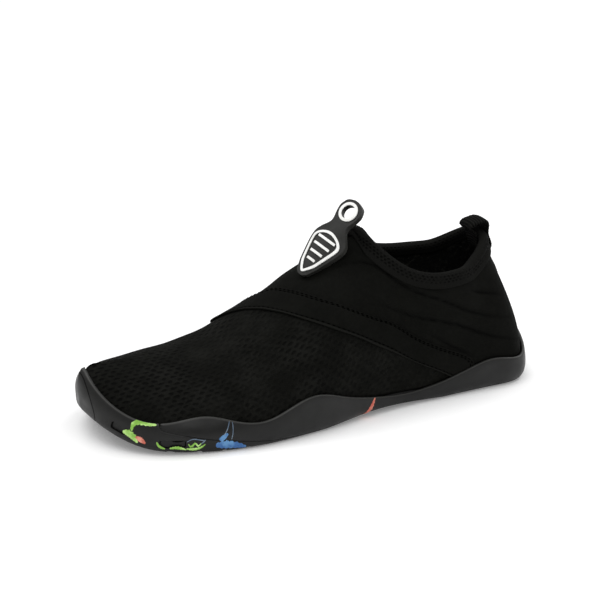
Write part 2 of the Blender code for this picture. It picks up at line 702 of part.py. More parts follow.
def tab_point(a, b, height):
    """A point of the tab: a along it from its tip, b across it, height above its underside."""
    a, b = np.broadcast_arrays(np.asarray(a, float), np.asarray(b, float))
    flat_from, flat_to = 0.55 * TAB_LENGTH, 0.72 * TAB_LENGTH
    bend = np.clip((flat_to - a) / (flat_to - flat_from), 0, 1)
    drop = bend * b**2 / (2 * TAB_BEND_RADIUS)
    lift = (np.asarray(height) - drop)[..., None] * tab_normal
    return tab_foot + a[..., None] * tab_up + b[..., None] * tab_across + lift


def tab_half_width(a):
    return TAB_HALF_WIDTH * np.interp(a / TAB_LENGTH, TAB_ALONG, TAB_WIDTHS)


def pull_tab():
    """The stiff tab that is fixed at its tip and stands off the instep towards its eye."""
    stations = np.array(TAB_ALONG) * TAB_LENGTH
    shares_over = np.linspace(-1, 1, 5)
    a = np.repeat(stations, len(shares_over))
    b = (tab_half_width(stations)[:, None] * shares_over).ravel()
    under = tab_point(a, b, 0)
    for _ in range(3):
        r, v = settled(under, np.arange(5, 9.01, 0.1))
        surface = wall(r, v)
        normal = skin(r, v, 1.0) - surface
        clear = ((under - surface) * normal).sum(-1)
        root = np.clip((TAB_ROOT * TAB_LENGTH - a) / (0.5 * TAB_ROOT * TAB_LENGTH), 0, 1)
        move = np.where(clear < 1.2 * GAP, 1.2 * GAP - clear, root * (1.2 * GAP - clear))
        facing = (normal * tab_normal).sum(-1)
        under = under + (move / np.maximum(facing, 0.4))[:, None] * tab_normal
    over = tab_point(a, b, TAB_THICKNESS)
    count = len(shares_over)
    size = len(a)
    faces = grid_faces(len(stations), count)
    faces += [tuple(size + k for k in face) for face in faces]
    for i in range(len(stations) - 1):
        for j in (0, count - 1):
            k = i * count + j
            faces.append((k, k + count, k + count + size, k + size))
    for i in (0, len(stations) - 1):
        for j in range(count - 1):
            k = i * count + j
            faces.append((k, k + 1, k + 1 + size, k + size))
    made = add_mesh("pull_tab", np.concatenate((under, over)), faces, tab_rubber)
    centre = Vector(tab_point(EYE_CENTRE * TAB_LENGTH, 0, TAB_THICKNESS / 2))
    bpy.ops.mesh.primitive_cylinder_add(vertices=32, radius=EYE_HOLE_RADIUS, depth=4 * TAB_THICKNESS)
    hole = bpy.context.object
    hole.name = "eye_hole"
    place = Matrix((tab_up, tab_across, tab_normal)).transposed().to_4x4()
    place.translation = centre
    hole.matrix_world = place
    for group in list(hole.users_collection):
        group.objects.unlink(hole)
    cutters.objects.link(hole)
    cut(made, hole)
    return made


def trim(name, loops):
    """A printed strip on the tab's face from an outer and an inner line of (a, b) places."""
    rings = []
    low, high = TAB_THICKNESS + TRIM_GAP, TAB_THICKNESS + TRIM_GAP + TRIM_THICKNESS
    for (a0, b0), (a1, b1) in zip(*loops):
        rings.append(tab_point(np.array((a0, a0, a1, a1)), np.array((b0, b0, b1, b1)),
                               np.array((low, high, high, low))))
    return add_loop_solid(name, rings, white_print)


def tab_ring():
    angles = np.linspace(0, 2 * pi, 32, endpoint=False)
    middle = EYE_CENTRE * TAB_LENGTH
    loops = []
    for radius in (EYE_HOLE_RADIUS + RING_WIDTH, EYE_HOLE_RADIUS):
        loops.append([(middle + radius * cos(t), radius * sin(t)) for t in angles])
    return trim("tab_ring", loops)


def shield(inset):
    """The outline of the tab's wide end, this far inside its edge."""
    along_tab = np.array(FRAME_ALONG) * TAB_LENGTH
    foot, head = along_tab[0] + inset, along_tab[-1] - inset
    a = foot + (head - foot) * (along_tab - along_tab[0]) / (along_tab[-1] - along_tab[0])
    half = np.array(FRAME_WIDTHS) * (TAB_HALF_WIDTH - inset)
    line = list(zip(a, half))
    return line + [(x, -y) for x, y in line[-2:0:-1]]


def tab_frame():
    return trim("tab_frame", (shield(FRAME_INSET), shield(FRAME_INSET + FRAME_WIDTH)))


def tab_bars():
    for number, (share, width) in enumerate(zip(BAR_ALONG, BAR_WIDTHS), start=1):
        middle = share * TAB_LENGTH
        half = width * TAB_HALF_WIDTH
        b = np.linspace(-half, half, 5)
        low, high = TAB_THICKNESS + TRIM_GAP, TAB_THICKNESS + TRIM_GAP + TRIM_THICKNESS
        rings = []
        for y in b:
            a = middle + BAR_WIDTH / 2 * np.array((-1, -1, 1, 1))
            rings.append(tab_point(a, np.full(4, y), np.array((low, high, high, low))))
        add_loop_solid(f"tab_bar_{number}", rings, white_print, closed=False)


def cutter_box(name, centre, axes, size, rounding=0):
    bpy.ops.mesh.primitive_cube_add(size=1)
    box = bpy.context.object
    box.name = name
    box.data.transform(Matrix.Diagonal((*size, 1)))
    place = Matrix(axes).transposed().to_4x4()
    place.translation = Vector(centre)
    box.matrix_world = place
    for group in list(box.users_collection):
        group.objects.unlink(box)
    cutters.objects.link(box)
    if rounding:
        bevel = box.modifiers.new("rounding", "BEVEL")
        bevel.width = rounding
        bevel.segments = 2
    return box


def tread(sole):
    """Cross grooves in the tread, drain slots in its sides and the line around the toe panel."""
    for number, share in enumerate(GROOVES_ALONG, start=1):
        x = (share - 0.5) * UPPER_LENGTH
        rows = np.linspace(0, ROWS, 200)
        row = np.interp(x, outline_x(rows), rows)
        climb = ground(row + 0.1) - ground(row - 0.1)
        run = outline_x(row + 0.1) - outline_x(row - 0.1)
        tip = atan2(climb, run)
        axes = ((cos(tip), 0, sin(tip)), (0, 1, 0), (-sin(tip), 0, cos(tip)))
        size = (FLEX_GROOVE_WIDTH, 4 * BALL_HALF_WIDTH, 2 * FLEX_GROOVE_DEPTH)
        box = cutter_box(f"groove_{number}", (x, 0, float(ground(row))), axes, size)
        cut(sole, box, solver="MANIFOLD")
    for name, place, share, length in DRAINS:
        for side, turned in (("outer", place), ("inner", 2 * ROWS - place)):
            middle = rubber(turned, share)
            ahead = unit(rubber(turned + 0.1, share) - rubber(turned - 0.1, share))
            upward = rubber(turned, share + 0.05) - rubber(turned, share - 0.05)
            out = unit(np.cross(upward, ahead))
            out = out * np.sign((out * outward(turned)).sum())
            upward = np.cross(out, ahead)
            size = (length, DRAIN_HEIGHT, 2 * DRAIN_DEPTH)
            box = cutter_box(f"{name}_{side}", middle, (ahead, upward, out), size, DRAIN_HEIGHT / 4)
            cut(sole, box, solver="MANIFOLD")
    path = rubber(np.array([p[0] for p in TOE_PANEL]), np.array([p[1] for p in TOE_PANEL]))
    ring_angles = np.linspace(0, 2 * pi, 8, endpoint=False)
    rings = []
    for i, point in enumerate(path):
        heading = unit(path[min(i + 1, len(path) - 1)] - path[max(i - 1, 0)])
        side = unit(np.cross(heading, outward(TOE_PANEL[i][0])))
        out = np.cross(side, heading)
        rings.append([point + WRAP_GROOVE_RADIUS * (cos(t) * side + sin(t) * out) for t in ring_angles])
    tube = add_loop_solid("toe_panel_line", [np.array(ring) for ring in rings], None, closed=False)
    shoe.objects.unlink(tube)
    cutters.objects.link(tube)
    cut(sole, tube, solver="MANIFOLD")


upper()
sole = outsole()
tread(sole)
sidewall()
insole()
band()
binding()
heel_tape()
pull_tab()
tab_ring()
tab_frame()
tab_bars()

# The origin is the middle of the underside of the whole shoe's box.
bpy.context.view_layer.update()
corners = np.array([thing.matrix_world @ Vector(corner) for thing in shoe.objects
                    for corner in thing.bound_box])
shift = -np.array((*(corners.min(0) + corners.max(0))[:2] / 2, corners.min(0)[2]))
for thing in bpy.data.objects:
    thing.matrix_world = Matrix.Translation(shift) @ thing.matrix_world
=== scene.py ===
from math import cos, pi, radians, sin

import bmesh
import bpy
import numpy as np
from mathutils import Matrix, Vector


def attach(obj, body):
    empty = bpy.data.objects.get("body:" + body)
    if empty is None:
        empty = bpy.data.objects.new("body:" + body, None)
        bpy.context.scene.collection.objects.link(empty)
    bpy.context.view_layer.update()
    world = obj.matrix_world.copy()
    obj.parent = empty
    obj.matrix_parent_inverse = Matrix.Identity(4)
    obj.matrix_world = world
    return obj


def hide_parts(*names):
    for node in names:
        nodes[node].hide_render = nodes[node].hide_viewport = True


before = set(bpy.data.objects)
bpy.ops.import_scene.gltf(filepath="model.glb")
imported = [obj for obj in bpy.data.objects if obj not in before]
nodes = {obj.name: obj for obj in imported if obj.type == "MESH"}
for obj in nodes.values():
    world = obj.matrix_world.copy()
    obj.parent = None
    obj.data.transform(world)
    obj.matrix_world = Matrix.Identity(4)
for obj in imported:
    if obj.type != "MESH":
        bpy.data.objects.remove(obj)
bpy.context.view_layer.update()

# The last that every piece below is laid on, in metres: rows 0 to 12 run from the heel to the toe.
last = {
    "rows": 12, "length": 0.262, "ball": 0.047, "throat": 0.096, "toeRise": 0.0147, "wall": 0.0018,
    "sole": 0.007, "rubber": 0.0022, "rubberLeast": 0.0019, "inset": 0.003, "bulge": 0.008,
    "wrap": 0.041, "gap": 0.0003, "place": (0.000269, -0.003741, 0),
    "along": (0, 0.026, 0.105, 0.21, 0.32, 0.43, 0.54, 0.65, 0.75, 0.84, 0.915, 0.972, 1),
    "outer": (0, 0.57, 0.70, 0.72, 0.76, 0.86, 0.99, 1.07, 1.05, 0.945, 0.73, 0.395, -0.06),
    "inner": (0, 0.43, 0.63, 0.66, 0.62, 0.60, 0.73, 0.825, 0.915, 0.935, 0.855, 0.555, 0.06),
    "rise": (0.03, 0, 0, 0, 0.14, 0.18, 0.02, 0, 0, 0.07, 0.19, 0.62, 1),
    "lean": (7, 10, 11, 12, 13.5, 14, 14, 12, 13, 13, 12, 10, 10),
    "lowPull": (0.35, 0.35, 0.35, 0.35, 0.36, 0.405, 0.47, 0.41, 0.345, 0.41, 0.51, 0.6, 0.69),
    "tilt": (78, 74, 70, 66, 54, 9, 0, 0, 0, 0, 0, 0, 0),
    "highPull": (0.36, 0.36, 0.353, 0.35, 0.375, 0.43, 0.49, 0.41, 0.336, 0.38, 0.5, 0.66, 0.74),
    "collarAlong": (0.076, 0.087, 0.139, 0.191, 0.308, 0.38),
    "collarHeight": (0.871, 0.841, 0.76, 0.74, 0.803, 0.998),
    "collarOut": (0, 0.27, 0.47, 0.595, 0.557, 0),
    "instepAlong": (0.38, 0.465, 0.55, 0.636, 0.702, 0.773, 0.88, 0.97),
    "instepHeight": (0.998, 0.86, 0.721, 0.592, 0.49, 0.432, 0.418, 0.43),
    "instepOut": (0, -0.021, -0.043, -0.064, -0.085, -0.106, -0.128, -0.128),
    "rimRows": (0, 1, 2, 3, 4, 4.8, 5.6, 6.4, 7.2, 8, 8.8, 9.6, 10.4, 11.2, 12),
    "rim": (0.70, 0.41, 0.46, 0.32, 0.21, 0.28, 0.436, 0.568, 0.383, 0.406, 0.498, 0.447, 0.505, 0.735,
            0.965),
    "partingRows": (0, 6.5, 7.25, 8, 8.75, 9.25, 9.75),
    "parting": (0.04, 0.045, 0.08, 0.15, 0.215, 0.27, 0.325),
}
place = np.array(last["place"])
rows, gap = last["rows"], last["gap"]
collarRows = 5


class Spline:
    def __init__(self, at, values, period=0):
        self.at, self.values, self.period = np.array(at, float), np.array(values, float), period
        if period:
            self.at = np.append(self.at, self.at[0] + period)
            self.values = np.append(self.values, self.values[:1], axis=0)
        step = np.diff(self.at)
        slope = np.diff(self.values, axis=0) / (step if self.values.ndim == 1 else step[:, None])
        count = len(self.at)
        system, right = np.eye(count), np.zeros(self.values.shape)
        for i in range(1, count - 1):
            system[i, i - 1:i + 2] = step[i - 1], 2 * (step[i - 1] + step[i]), step[i]
            right[i] = 6 * (slope[i] - slope[i - 1])
        if period:
            system[0, 0], system[0, 1], system[0, -2] = 2 * (step[0] + step[-1]), step[0], step[-1]
            right[0] = 6 * (slope[0] - slope[-1])
            system[-1, 0] = -1
        self.bend = np.linalg.solve(system, right)

    def __call__(self, t):
        t = np.asarray(t, float)
        if self.period:
            t = (t - self.at[0]) % self.period + self.at[0]
        i = np.clip(np.searchsorted(self.at, t, side="right") - 1, 0, len(self.at) - 2)
        step = self.at[i + 1] - self.at[i]
        b = (t - self.at[i]) / step
        if self.values.ndim > 1:
            b, step = b[:, None], step[:, None]
        a = 1 - b
        cubic = (a**3 - a) * self.bend[i] + (b**3 - b) * self.bend[i + 1]
        return a * self.values[i] + b * self.values[i + 1] + cubic * step**2 / 6

    def slope(self, t):
        return (self(np.asarray(t) + 1e-4) - self(np.asarray(t) - 1e-4)) / 2e-4


def bothSides(outer, inner=None, at=None, size=1.0, innerSize=None):
    at = np.arange(len(outer)) if at is None else np.array(at, float)
    inner = outer if inner is None else inner
    back = 2 * at[-1] - at[-2:0:-1]
    other = size if innerSize is None else innerSize
    values = [size * x for x in outer] + [other * x for x in inner[-2:0:-1]]
    return Spline(np.append(at, back), values, 2 * at[-1])


def lengths(values):
    return [(x - 0.5) * last["length"] for x in values]


outlineX = bothSides(lengths(last["along"]))
outlineY = bothSides(last["outer"], last["inner"], size=last["ball"], innerSize=-last["ball"])
rise = bothSides(last["rise"], size=last["toeRise"])
lean, lowPull = bothSides(last["lean"]), bothSides(last["lowPull"])
tilt, highPull = bothSides(last["tilt"]), bothSides(last["highPull"])
collar = (bothSides(lengths(last["collarAlong"])),
          bothSides(last["collarOut"], size=last["ball"], innerSize=-last["ball"]),
          bothSides(last["collarHeight"], size=last["throat"]))
instepAt = range(collarRows, rows + 1)
instep = (Spline(instepAt, lengths(last["instepAlong"])),
          Spline(instepAt, [last["ball"] * x for x in last["instepOut"]]),
          Spline(instepAt, [last["throat"] * x for x in last["instepHeight"]]))
rimHeight = bothSides(last["rim"], at=last["rimRows"], size=last["wrap"])


def unit(a):
    return a / np.linalg.norm(a, axis=-1, keepdims=True)


def joined(*parts):
    return np.stack(np.broadcast_arrays(*parts), -1)


def rowOf(r):
    r = np.asarray(r, float) % (2 * rows)
    return np.where(r > rows, 2 * rows - r, r)


def eased(row):
    reach = 2
    first, end = collarRows - reach, collarRows + reach
    a, b = np.clip((row - first) / reach, 0, 1), np.clip((end - row) / reach, 0, 1)
    before, after = first + reach * a * (1 + a - a * a), end - reach * b * (1 + b - b * b)
    corner = np.where(row < collarRows, before, after)
    return np.where((row > first) & (row < end), corner, row)


def topEdge(r):
    r = np.asarray(r, float) % (2 * rows)
    row = rowOf(r)
    on = eased(row)
    onCollar = np.minimum(on, collarRows)
    onCollar = np.where(r > rows, 2 * collarRows - onCollar, onCollar)
    onInstep = np.maximum(on, collarRows)
    return joined(*[np.where(row < collarRows, a(onCollar), b(onInstep)) for a, b in zip(collar, instep)])


def outward(r):
    return unit(joined(-outlineY.slope(r), outlineX.slope(r), 0))


def ground(r):
    return np.maximum(rise(r) - 0.02 * last["toeRise"], 0)


def feather(r):
    return joined(outlineX(r), outlineY(r), ground(r) + last["sole"])


def ridgeSlope(r):
    on = np.maximum(eased(rowOf(r)), collarRows)
    return instep[2].slope(on) / instep[0].slope(on)


def highHandle(r):
    out, high = outward(r), topEdge(r)
    span = high - feather(r)
    tilted = np.radians(np.clip(tilt(r), 0, 90))
    slope = ridgeSlope(r)
    fall = slope * out[..., 0] * np.clip(1 - tilted / radians(60), 0, 1) - np.sin(tilted)
    over = joined(out[..., 0] * np.cos(tilted), out[..., 1] * np.cos(tilted), fall)
    corner = 0.4 * np.exp(-((rowOf(r) - collarRows) / 1.3) ** 2)
    over = unit(over + corner[..., None] * joined(np.ones_like(slope), 0, slope))
    width = np.hypot(span[..., 0], span[..., 1])
    reach = highPull(r) * (width * np.cos(tilted) + span[..., 2] * np.sin(tilted))
    return high + reach[..., None] * over


throatSpread = np.array((-1.4, -0.9, -0.4, 0, 0.4, 0.9, 1.4))


def wall(r, v):
    r, v = np.asarray(r, float), np.asarray(v, float)[..., None]
    low, high, out = feather(r), topEdge(r), outward(r)
    leaning = np.radians(lean(r))
    up = joined(out[..., 0] * np.sin(leaning), out[..., 1] * np.sin(leaning), np.cos(leaning))
    first = low + (lowPull(r) * (high - low)[..., 2])[..., None] * up
    beside = highHandle(r + throatSpread.reshape((-1,) + (1,) * r.ndim))
    shared = np.exp(-((rowOf(r) - collarRows) / 1.3) ** 2)[..., None]
    second = beside[3] * (1 - shared) + beside.mean(0) * shared
    w = 1 - v
    return low * w**3 + 3 * first * v * w**2 + 3 * second * v**2 * w + high * v**3


def normalAt(r, v):
    small = 1e-3
    near = np.clip(v, small, 1 - 8 * small)
    alongR = wall(r + small, near) - wall(r - small, near)
    alongV = wall(r, near + small) - wall(r, near - small)
    normal = unit(np.cross(alongV, alongR))
    slope = ridgeSlope(r)
    ridge = unit(joined(-slope, 0 * slope, 1 + 0 * slope))
    crest = (v > 1 - small) & (rowOf(r) > collarRows - small)
    return np.where(crest[..., None], ridge, normal)


def skin(r, v, offset):
    r, v = np.broadcast_arrays(np.asarray(r, float), np.asarray(v, float))
    return wall(r, v) + normalAt(r, v) * np.asarray(offset, float)[..., None]


def shareAtHeight(r, height):
    steps = np.linspace(0, 1, 81)
    r = np.asarray(r, float)
    heights = np.maximum.accumulate(wall(r[:, None], steps)[..., 2], axis=1)
    return np.array([np.interp(h, row, steps) for h, row in zip(height, heights)])


def shareBelowTop(r, distance):
    steps = np.linspace(1, 0, 81)
    r, distance = np.broadcast_arrays(np.asarray(r, float), np.asarray(distance, float))
    points = wall(r[..., None], steps)
    run = np.linalg.norm(np.diff(points, axis=-2), axis=-1).cumsum(-1).reshape(-1, len(steps) - 1)
    found = [np.interp(d, np.append(0, row), steps) for d, row in zip(distance.ravel(), run)]
    return np.array(found).reshape(r.shape)


def rubber(r, w):
    r = np.asarray(r, float)
    w = np.broadcast_to(w, (len(r), np.shape(w)[-1]))[..., None]
    out = outward(r)[:, None]
    rim = wall(r, shareAtHeight(r, rimHeight(r)))[:, None] + out * last["rubber"]
    foot = joined(outlineX(r), outlineY(r), ground(r))[:, None] - out * last["inset"]
    height = (rim - foot)[..., 2:]
    lowTo = foot + out * last["bulge"]
    highTo = rim + out * height * 0.1 - height * np.array((0, 0, 0.45))
    u = 1 - w
    outside = foot * u**3 + 3 * lowTo * w * u**2 + 3 * highTo * w**2 * u + rim * w**3
    share = shareAtHeight(r, outside[..., 2])
    covered = wall(r[:, None] + 0 * share, share) + out * last["rubberLeast"]
    short = ((covered - outside) * out).sum(-1)
    short = (short + np.sqrt(short**2 + last["gap"] ** 2)) / 2
    fade = np.clip((outside[..., 2] - foot[..., 2]) / last["sole"], 0, 1)
    return outside + out * (short * fade)[..., None]


def rubberShare(r, height):
    steps = np.linspace(0, 1, 61)
    heights = np.maximum.accumulate(rubber(r, steps)[..., 2], axis=1)
    return np.array([np.interp(h, row, steps) for h, row in zip(height, heights)])


def partingHeight(r):
    row = rowOf(r)
    share = np.interp(row, last["partingRows"], last["parting"])
    return np.where(row > last["partingRows"][-1], rimHeight(r), ground(r) + share * last["wrap"])


def runLength(points):
    return np.append(0, np.linalg.norm(np.diff(points, axis=0), axis=-1).cumsum())


# Patches are grids of points with uv in mm and a material slot. Edges that meet are welded.
def buildPiece(name, patches, slots, replaced=(), weld=2e-6, shades=()):
    form = bmesh.new()
    layer = form.loops.layers.uv.new("mm")
    # This per-vertex layer is painted into the colour: painted shade in pleats and along seams, painted
    # highlight on folded edges and on the rubber lip.
    shade = form.verts.layers.float.new("paintedShading")
    for number, (points, uv, slotOf) in enumerate(patches):
        n, m = points.shape[:2]
        verts = [form.verts.new(p + place) for p in points.reshape(-1, 3)]
        if shades:
            for vert, depth in zip(verts, shades[number].ravel()):
                vert[shade] = depth
        for i in range(n - 1):
            for j in range(m - 1):
                corners = (i * m + j, (i + 1) * m + j, (i + 1) * m + j + 1, i * m + j + 1)
                face = form.faces.new([verts[k] for k in corners])
                face.smooth = True
                face.material_index = slotOf if isinstance(slotOf, int) else int(slotOf[i, j])
                for loop, k in zip(face.loops, corners):
                    loop[layer].uv = uv[k // m, k % m]
    bmesh.ops.remove_doubles(form, verts=form.verts, dist=weld)
    bmesh.ops.dissolve_degenerate(form, edges=form.edges, dist=weld)
    bmesh.ops.recalc_face_normals(form, faces=form.faces)
    mesh = bpy.data.meshes.new(name)
    form.to_mesh(mesh)
    form.free()
    piece = bpy.data.objects.new(name, mesh)
    bpy.context.scene.collection.objects.link(piece)
    for look in slots:
        mesh.materials.append(look)
    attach(piece, "root")
    if replaced:
        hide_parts(*replaced)
    return piece


# Shader helpers. A group gives out colours, masks and heights only.
def startGroup(name, inputs, outputs):
    tree = bpy.data.node_groups.new(name, "ShaderNodeTree")
    for label, kind, value in inputs:
        made = tree.interface.new_socket(label, in_out="INPUT", socket_type="NodeSocket" + kind)
        if value is not None:
            made.default_value = value
    for label, kind in outputs:
        tree.interface.new_socket(label, in_out="OUTPUT", socket_type="NodeSocket" + kind)
    return tree, tree.nodes.new("NodeGroupInput").outputs, tree.nodes.new("NodeGroupOutput").inputs


def feed(tree, socket, value):
    if isinstance(value, bpy.types.NodeSocket):
        tree.links.new(value, socket)
    elif value is not None:
        socket.default_value = value


def calc(tree, operation, *values):
    made = tree.nodes.new("ShaderNodeMath")
    made.operation = operation
    for socket, value in zip(made.inputs, values):
        feed(tree, socket, value)
    return made.outputs[0]


def remap(tree, value, fromLow, fromHigh, toLow=0.0, toHigh=1.0):
    made = tree.nodes.new("ShaderNodeMapRange")
    made.interpolation_type = "SMOOTHSTEP"
    for socket, x in zip(made.inputs, (value, fromLow, fromHigh, toLow, toHigh)):
        feed(tree, socket, x)
    return made.outputs[0]


def noise(tree, vector, scale, detail=3.0):
    made = tree.nodes.new("ShaderNodeTexNoise")
    feed(tree, made.inputs["Vector"], vector)
    feed(tree, made.inputs["Scale"], scale)
    feed(tree, made.inputs["Detail"], detail)
    return made.outputs["Fac"]


def blendColour(tree, factor, a, b):
    made = tree.nodes.new("ShaderNodeMix")
    made.data_type = "RGBA"
    feed(tree, made.inputs["Factor"], factor)
    feed(tree, made.inputs["A"], a)
    feed(tree, made.inputs["B"], b)
    return made.outputs["Result"]


def split(tree, vector):
    made = tree.nodes.new("ShaderNodeSeparateXYZ")
    feed(tree, made.inputs[0], vector)
    return made.outputs


# Staggered rows of small pits, on uv in mm.
pitRows, given, out = startGroup("pitRows", [("Vector", "Vector", None), ("Pitch", "Float", 4.0),
                                             ("Row", "Float", 2.7), ("Wide", "Float", 1.2),
                                             ("High", "Float", 0.8)], [("Pit", "Float")])
x, y, _ = split(pitRows, given["Vector"])
rowNumber = calc(pitRows, "FLOOR", calc(pitRows, "DIVIDE", y, given["Row"]))
shift = calc(pitRows, "MULTIPLY", calc(pitRows, "FLOORED_MODULO", rowNumber, 2.0), 0.5)
cellX = calc(pitRows, "SUBTRACT", calc(pitRows, "FRACT", calc(
    pitRows, "ADD", calc(pitRows, "DIVIDE", x, given["Pitch"]), shift)), 0.5)
cellY = calc(pitRows, "SUBTRACT", calc(pitRows, "FRACT", calc(pitRows, "DIVIDE", y, given["Row"])), 0.5)
acrossX = calc(pitRows, "DIVIDE", calc(pitRows, "MULTIPLY", cellX, given["Pitch"]), given["Wide"])
acrossY = calc(pitRows, "DIVIDE", calc(pitRows, "MULTIPLY", cellY, given["Row"]), given["High"])
away = calc(pitRows, "SQRT", calc(pitRows, "ADD", calc(pitRows, "MULTIPLY", acrossX, acrossX),
                                  calc(pitRows, "MULTIPLY", acrossY, acrossY)))
feed(pitRows, out["Pit"], remap(pitRows, away, 0.45, 1.15, 1.0, 0.0))

# Fine columns of knit loops.
knitLoops, given, out = startGroup("knitLoops", [("Vector", "Vector", None), ("Pitch", "Float", 0.7)],
                                   [("Height", "Float")])
x, y, _ = split(knitLoops, given["Vector"])
turnX = calc(knitLoops, "MULTIPLY", calc(knitLoops, "DIVIDE", x, given["Pitch"]), 2 * pi)
turnY = calc(knitLoops, "MULTIPLY", calc(knitLoops, "DIVIDE", y, given["Pitch"]), 2 * pi)
swing = calc(knitLoops, "MULTIPLY", calc(knitLoops, "SINE", turnX), 0.9)
loop = calc(knitLoops, "SINE", calc(knitLoops, "ADD", turnY, swing))
column = calc(knitLoops, "ABSOLUTE", calc(knitLoops, "SINE", calc(knitLoops, "MULTIPLY", turnX, 0.5)))
feed(knitLoops, out["Height"], calc(knitLoops, "MULTIPLY", calc(knitLoops, "ADD", loop, 1.0), column))

# Uneven tone and dust: how far a colour moves towards its lighter partner.
unevenTone, given, out = startGroup("unevenTone", [("Vector", "Vector", None), ("Scale", "Float", 60.0),
                                                   ("Low", "Float", 0.35), ("High", "Float", 0.7)],
                                    [("Mask", "Float")])
big = noise(unevenTone, given["Vector"], given["Scale"], 4.0)
small = noise(unevenTone, given["Vector"], calc(unevenTone, "MULTIPLY", given["Scale"], 9.0), 2.0)
both = calc(unevenTone, "ADD", calc(unevenTone, "MULTIPLY", big, 0.65),
            calc(unevenTone, "MULTIPLY", small, 0.35))
feed(unevenTone, out["Mask"], remap(unevenTone, both, given["Low"], given["High"]))

# Parallel ribs across the v direction, as on webbing.
ribLines, given, out = startGroup("ribLines", [("Vector", "Vector", None), ("Pitch", "Float", 1.2)],
                                  [("Height", "Float")])
x, y, _ = split(ribLines, given["Vector"])
ribCount = calc(ribLines, "DIVIDE", y, given["Pitch"])
wave = calc(ribLines, "SINE", calc(ribLines, "MULTIPLY", ribCount, 2 * pi))
cross = calc(ribLines, "SINE", calc(ribLines, "MULTIPLY", x, 2 * pi / 0.8))
feed(ribLines, out["Height"], calc(ribLines, "ADD", wave, calc(ribLines, "MULTIPLY", cross, 0.35)))


def use(tree, group, **values):
    made = tree.nodes.new("ShaderNodeGroup")
    made.node_tree = group
    for label, value in values.items():
        feed(tree, made.inputs[label], value)
    return made.outputs[0]


def newLook(name, roughness, specular=0.3, coat=0.0, sheen=0.0):
    look = bpy.data.materials.new(name)
    look.use_nodes = True
    tree = look.node_tree
    shader = tree.nodes["Principled BSDF"]
    shader.inputs["Roughness"].default_value = roughness
    shader.inputs["Specular IOR Level"].default_value = specular
    shader.inputs["Coat Weight"].default_value = coat
    shader.inputs["Coat Roughness"].default_value = 0.25
    shader.inputs["Sheen Weight"].default_value = sheen
    shader.inputs["Sheen Roughness"].default_value = 0.5
    uv = tree.nodes.new("ShaderNodeUVMap")
    uv.uv_map = "mm"
    spot = tree.nodes.new("ShaderNodeTexCoord").outputs["Object"]
    return look, tree, shader, uv.outputs["UV"], spot


def bump(tree, shader, height, distance, strength=1.0, under=None):
    made = tree.nodes.new("ShaderNodeBump")
    made.inputs["Distance"].default_value = distance
    made.inputs["Strength"].default_value = strength
    feed(tree, made.inputs["Height"], height)
    if under:
        feed(tree, made.inputs["Normal"], under)
    feed(tree, shader.inputs["Normal"], made.outputs["Normal"])
    return made.outputs["Normal"]


fabric = {
    "mesh": (0.0042, 0.0043, 0.0035, 1), "meshPitShade": (0.0009, 0.0009, 0.0008, 1),
    "meshToneAndHighlight": (0.0085, 0.0086, 0.0074, 1),
    "knit": (0.0031, 0.0032, 0.0026, 1), "knitHigh": (0.0052, 0.0053, 0.0044, 1),
    # The dark colour is painted shade for pleats and seam lines; the light edge colour is a painted highlight
    # on the band's folded edge.
    "paintedShading": (0.0004, 0.0004, 0.0004, 1), "edge": (0.013, 0.013, 0.0115, 1),
    "bind": (0.006, 0.006, 0.0053, 1), "bindPitShade": (0.0006, 0.0006, 0.0005, 1),
    "lining": (0.0045, 0.0045, 0.0038, 1), "liningHigh": (0.03, 0.03, 0.025, 1),
    "specular": 0.04, "sheen": 0.0,
}


def jittered(tree, uv, spot, reach):
    wobble = tree.nodes.new("ShaderNodeTexNoise")
    wobble.inputs["Scale"].default_value, wobble.inputs["Detail"].default_value = 260.0, 1.0
    tree.links.new(spot, wobble.inputs["Vector"])
    moved = tree.nodes.new("ShaderNodeVectorMath")
    moved.operation = "MULTIPLY_ADD"
    tree.links.new(wobble.outputs["Color"], moved.inputs[0])
    moved.inputs[1].default_value = (reach, reach, 0)
    tree.links.new(uv, moved.inputs[2])
    return moved.outputs[0]


def meshFabric():
    look, tree, shader, uv, spot = newLook("meshFabric", 0.82, fabric["specular"], sheen=fabric["sheen"])
    pit = use(tree, pitRows, Vector=jittered(tree, uv, spot, 2.2), Pitch=5.2, Row=2.9, Wide=1.75, High=1.05)
    strong = remap(tree, noise(tree, spot, 38.0, 1.0), 0.36, 0.6, 0.35, 1.0)
    strong = calc(tree, "MULTIPLY", strong, remap(tree, split(tree, spot)[0], -0.02, 0.06, 0.55, 1.0))
    pit = calc(tree, "MULTIPLY", pit, strong)
    loops = use(tree, knitLoops, Vector=uv, Pitch=0.62)
    tone = use(tree, unevenTone, Vector=spot, Scale=70.0, Low=0.4, High=0.66)
    colour = blendColour(tree, tone, fabric["mesh"], fabric["meshToneAndHighlight"])
    # The pits are darkened in colour as well as bumped: painted shade in the pits.
    feed(tree, shader.inputs["Base Color"], blendColour(tree, calc(tree, "MULTIPLY", pit, 0.75), colour,
                                                        fabric["meshPitShade"]))
    fine = bump(tree, shader, loops, 0.00008, 0.5)
    bump(tree, shader, calc(tree, "SUBTRACT", 1.0, pit), 0.0007, 0.8, fine)
    return look


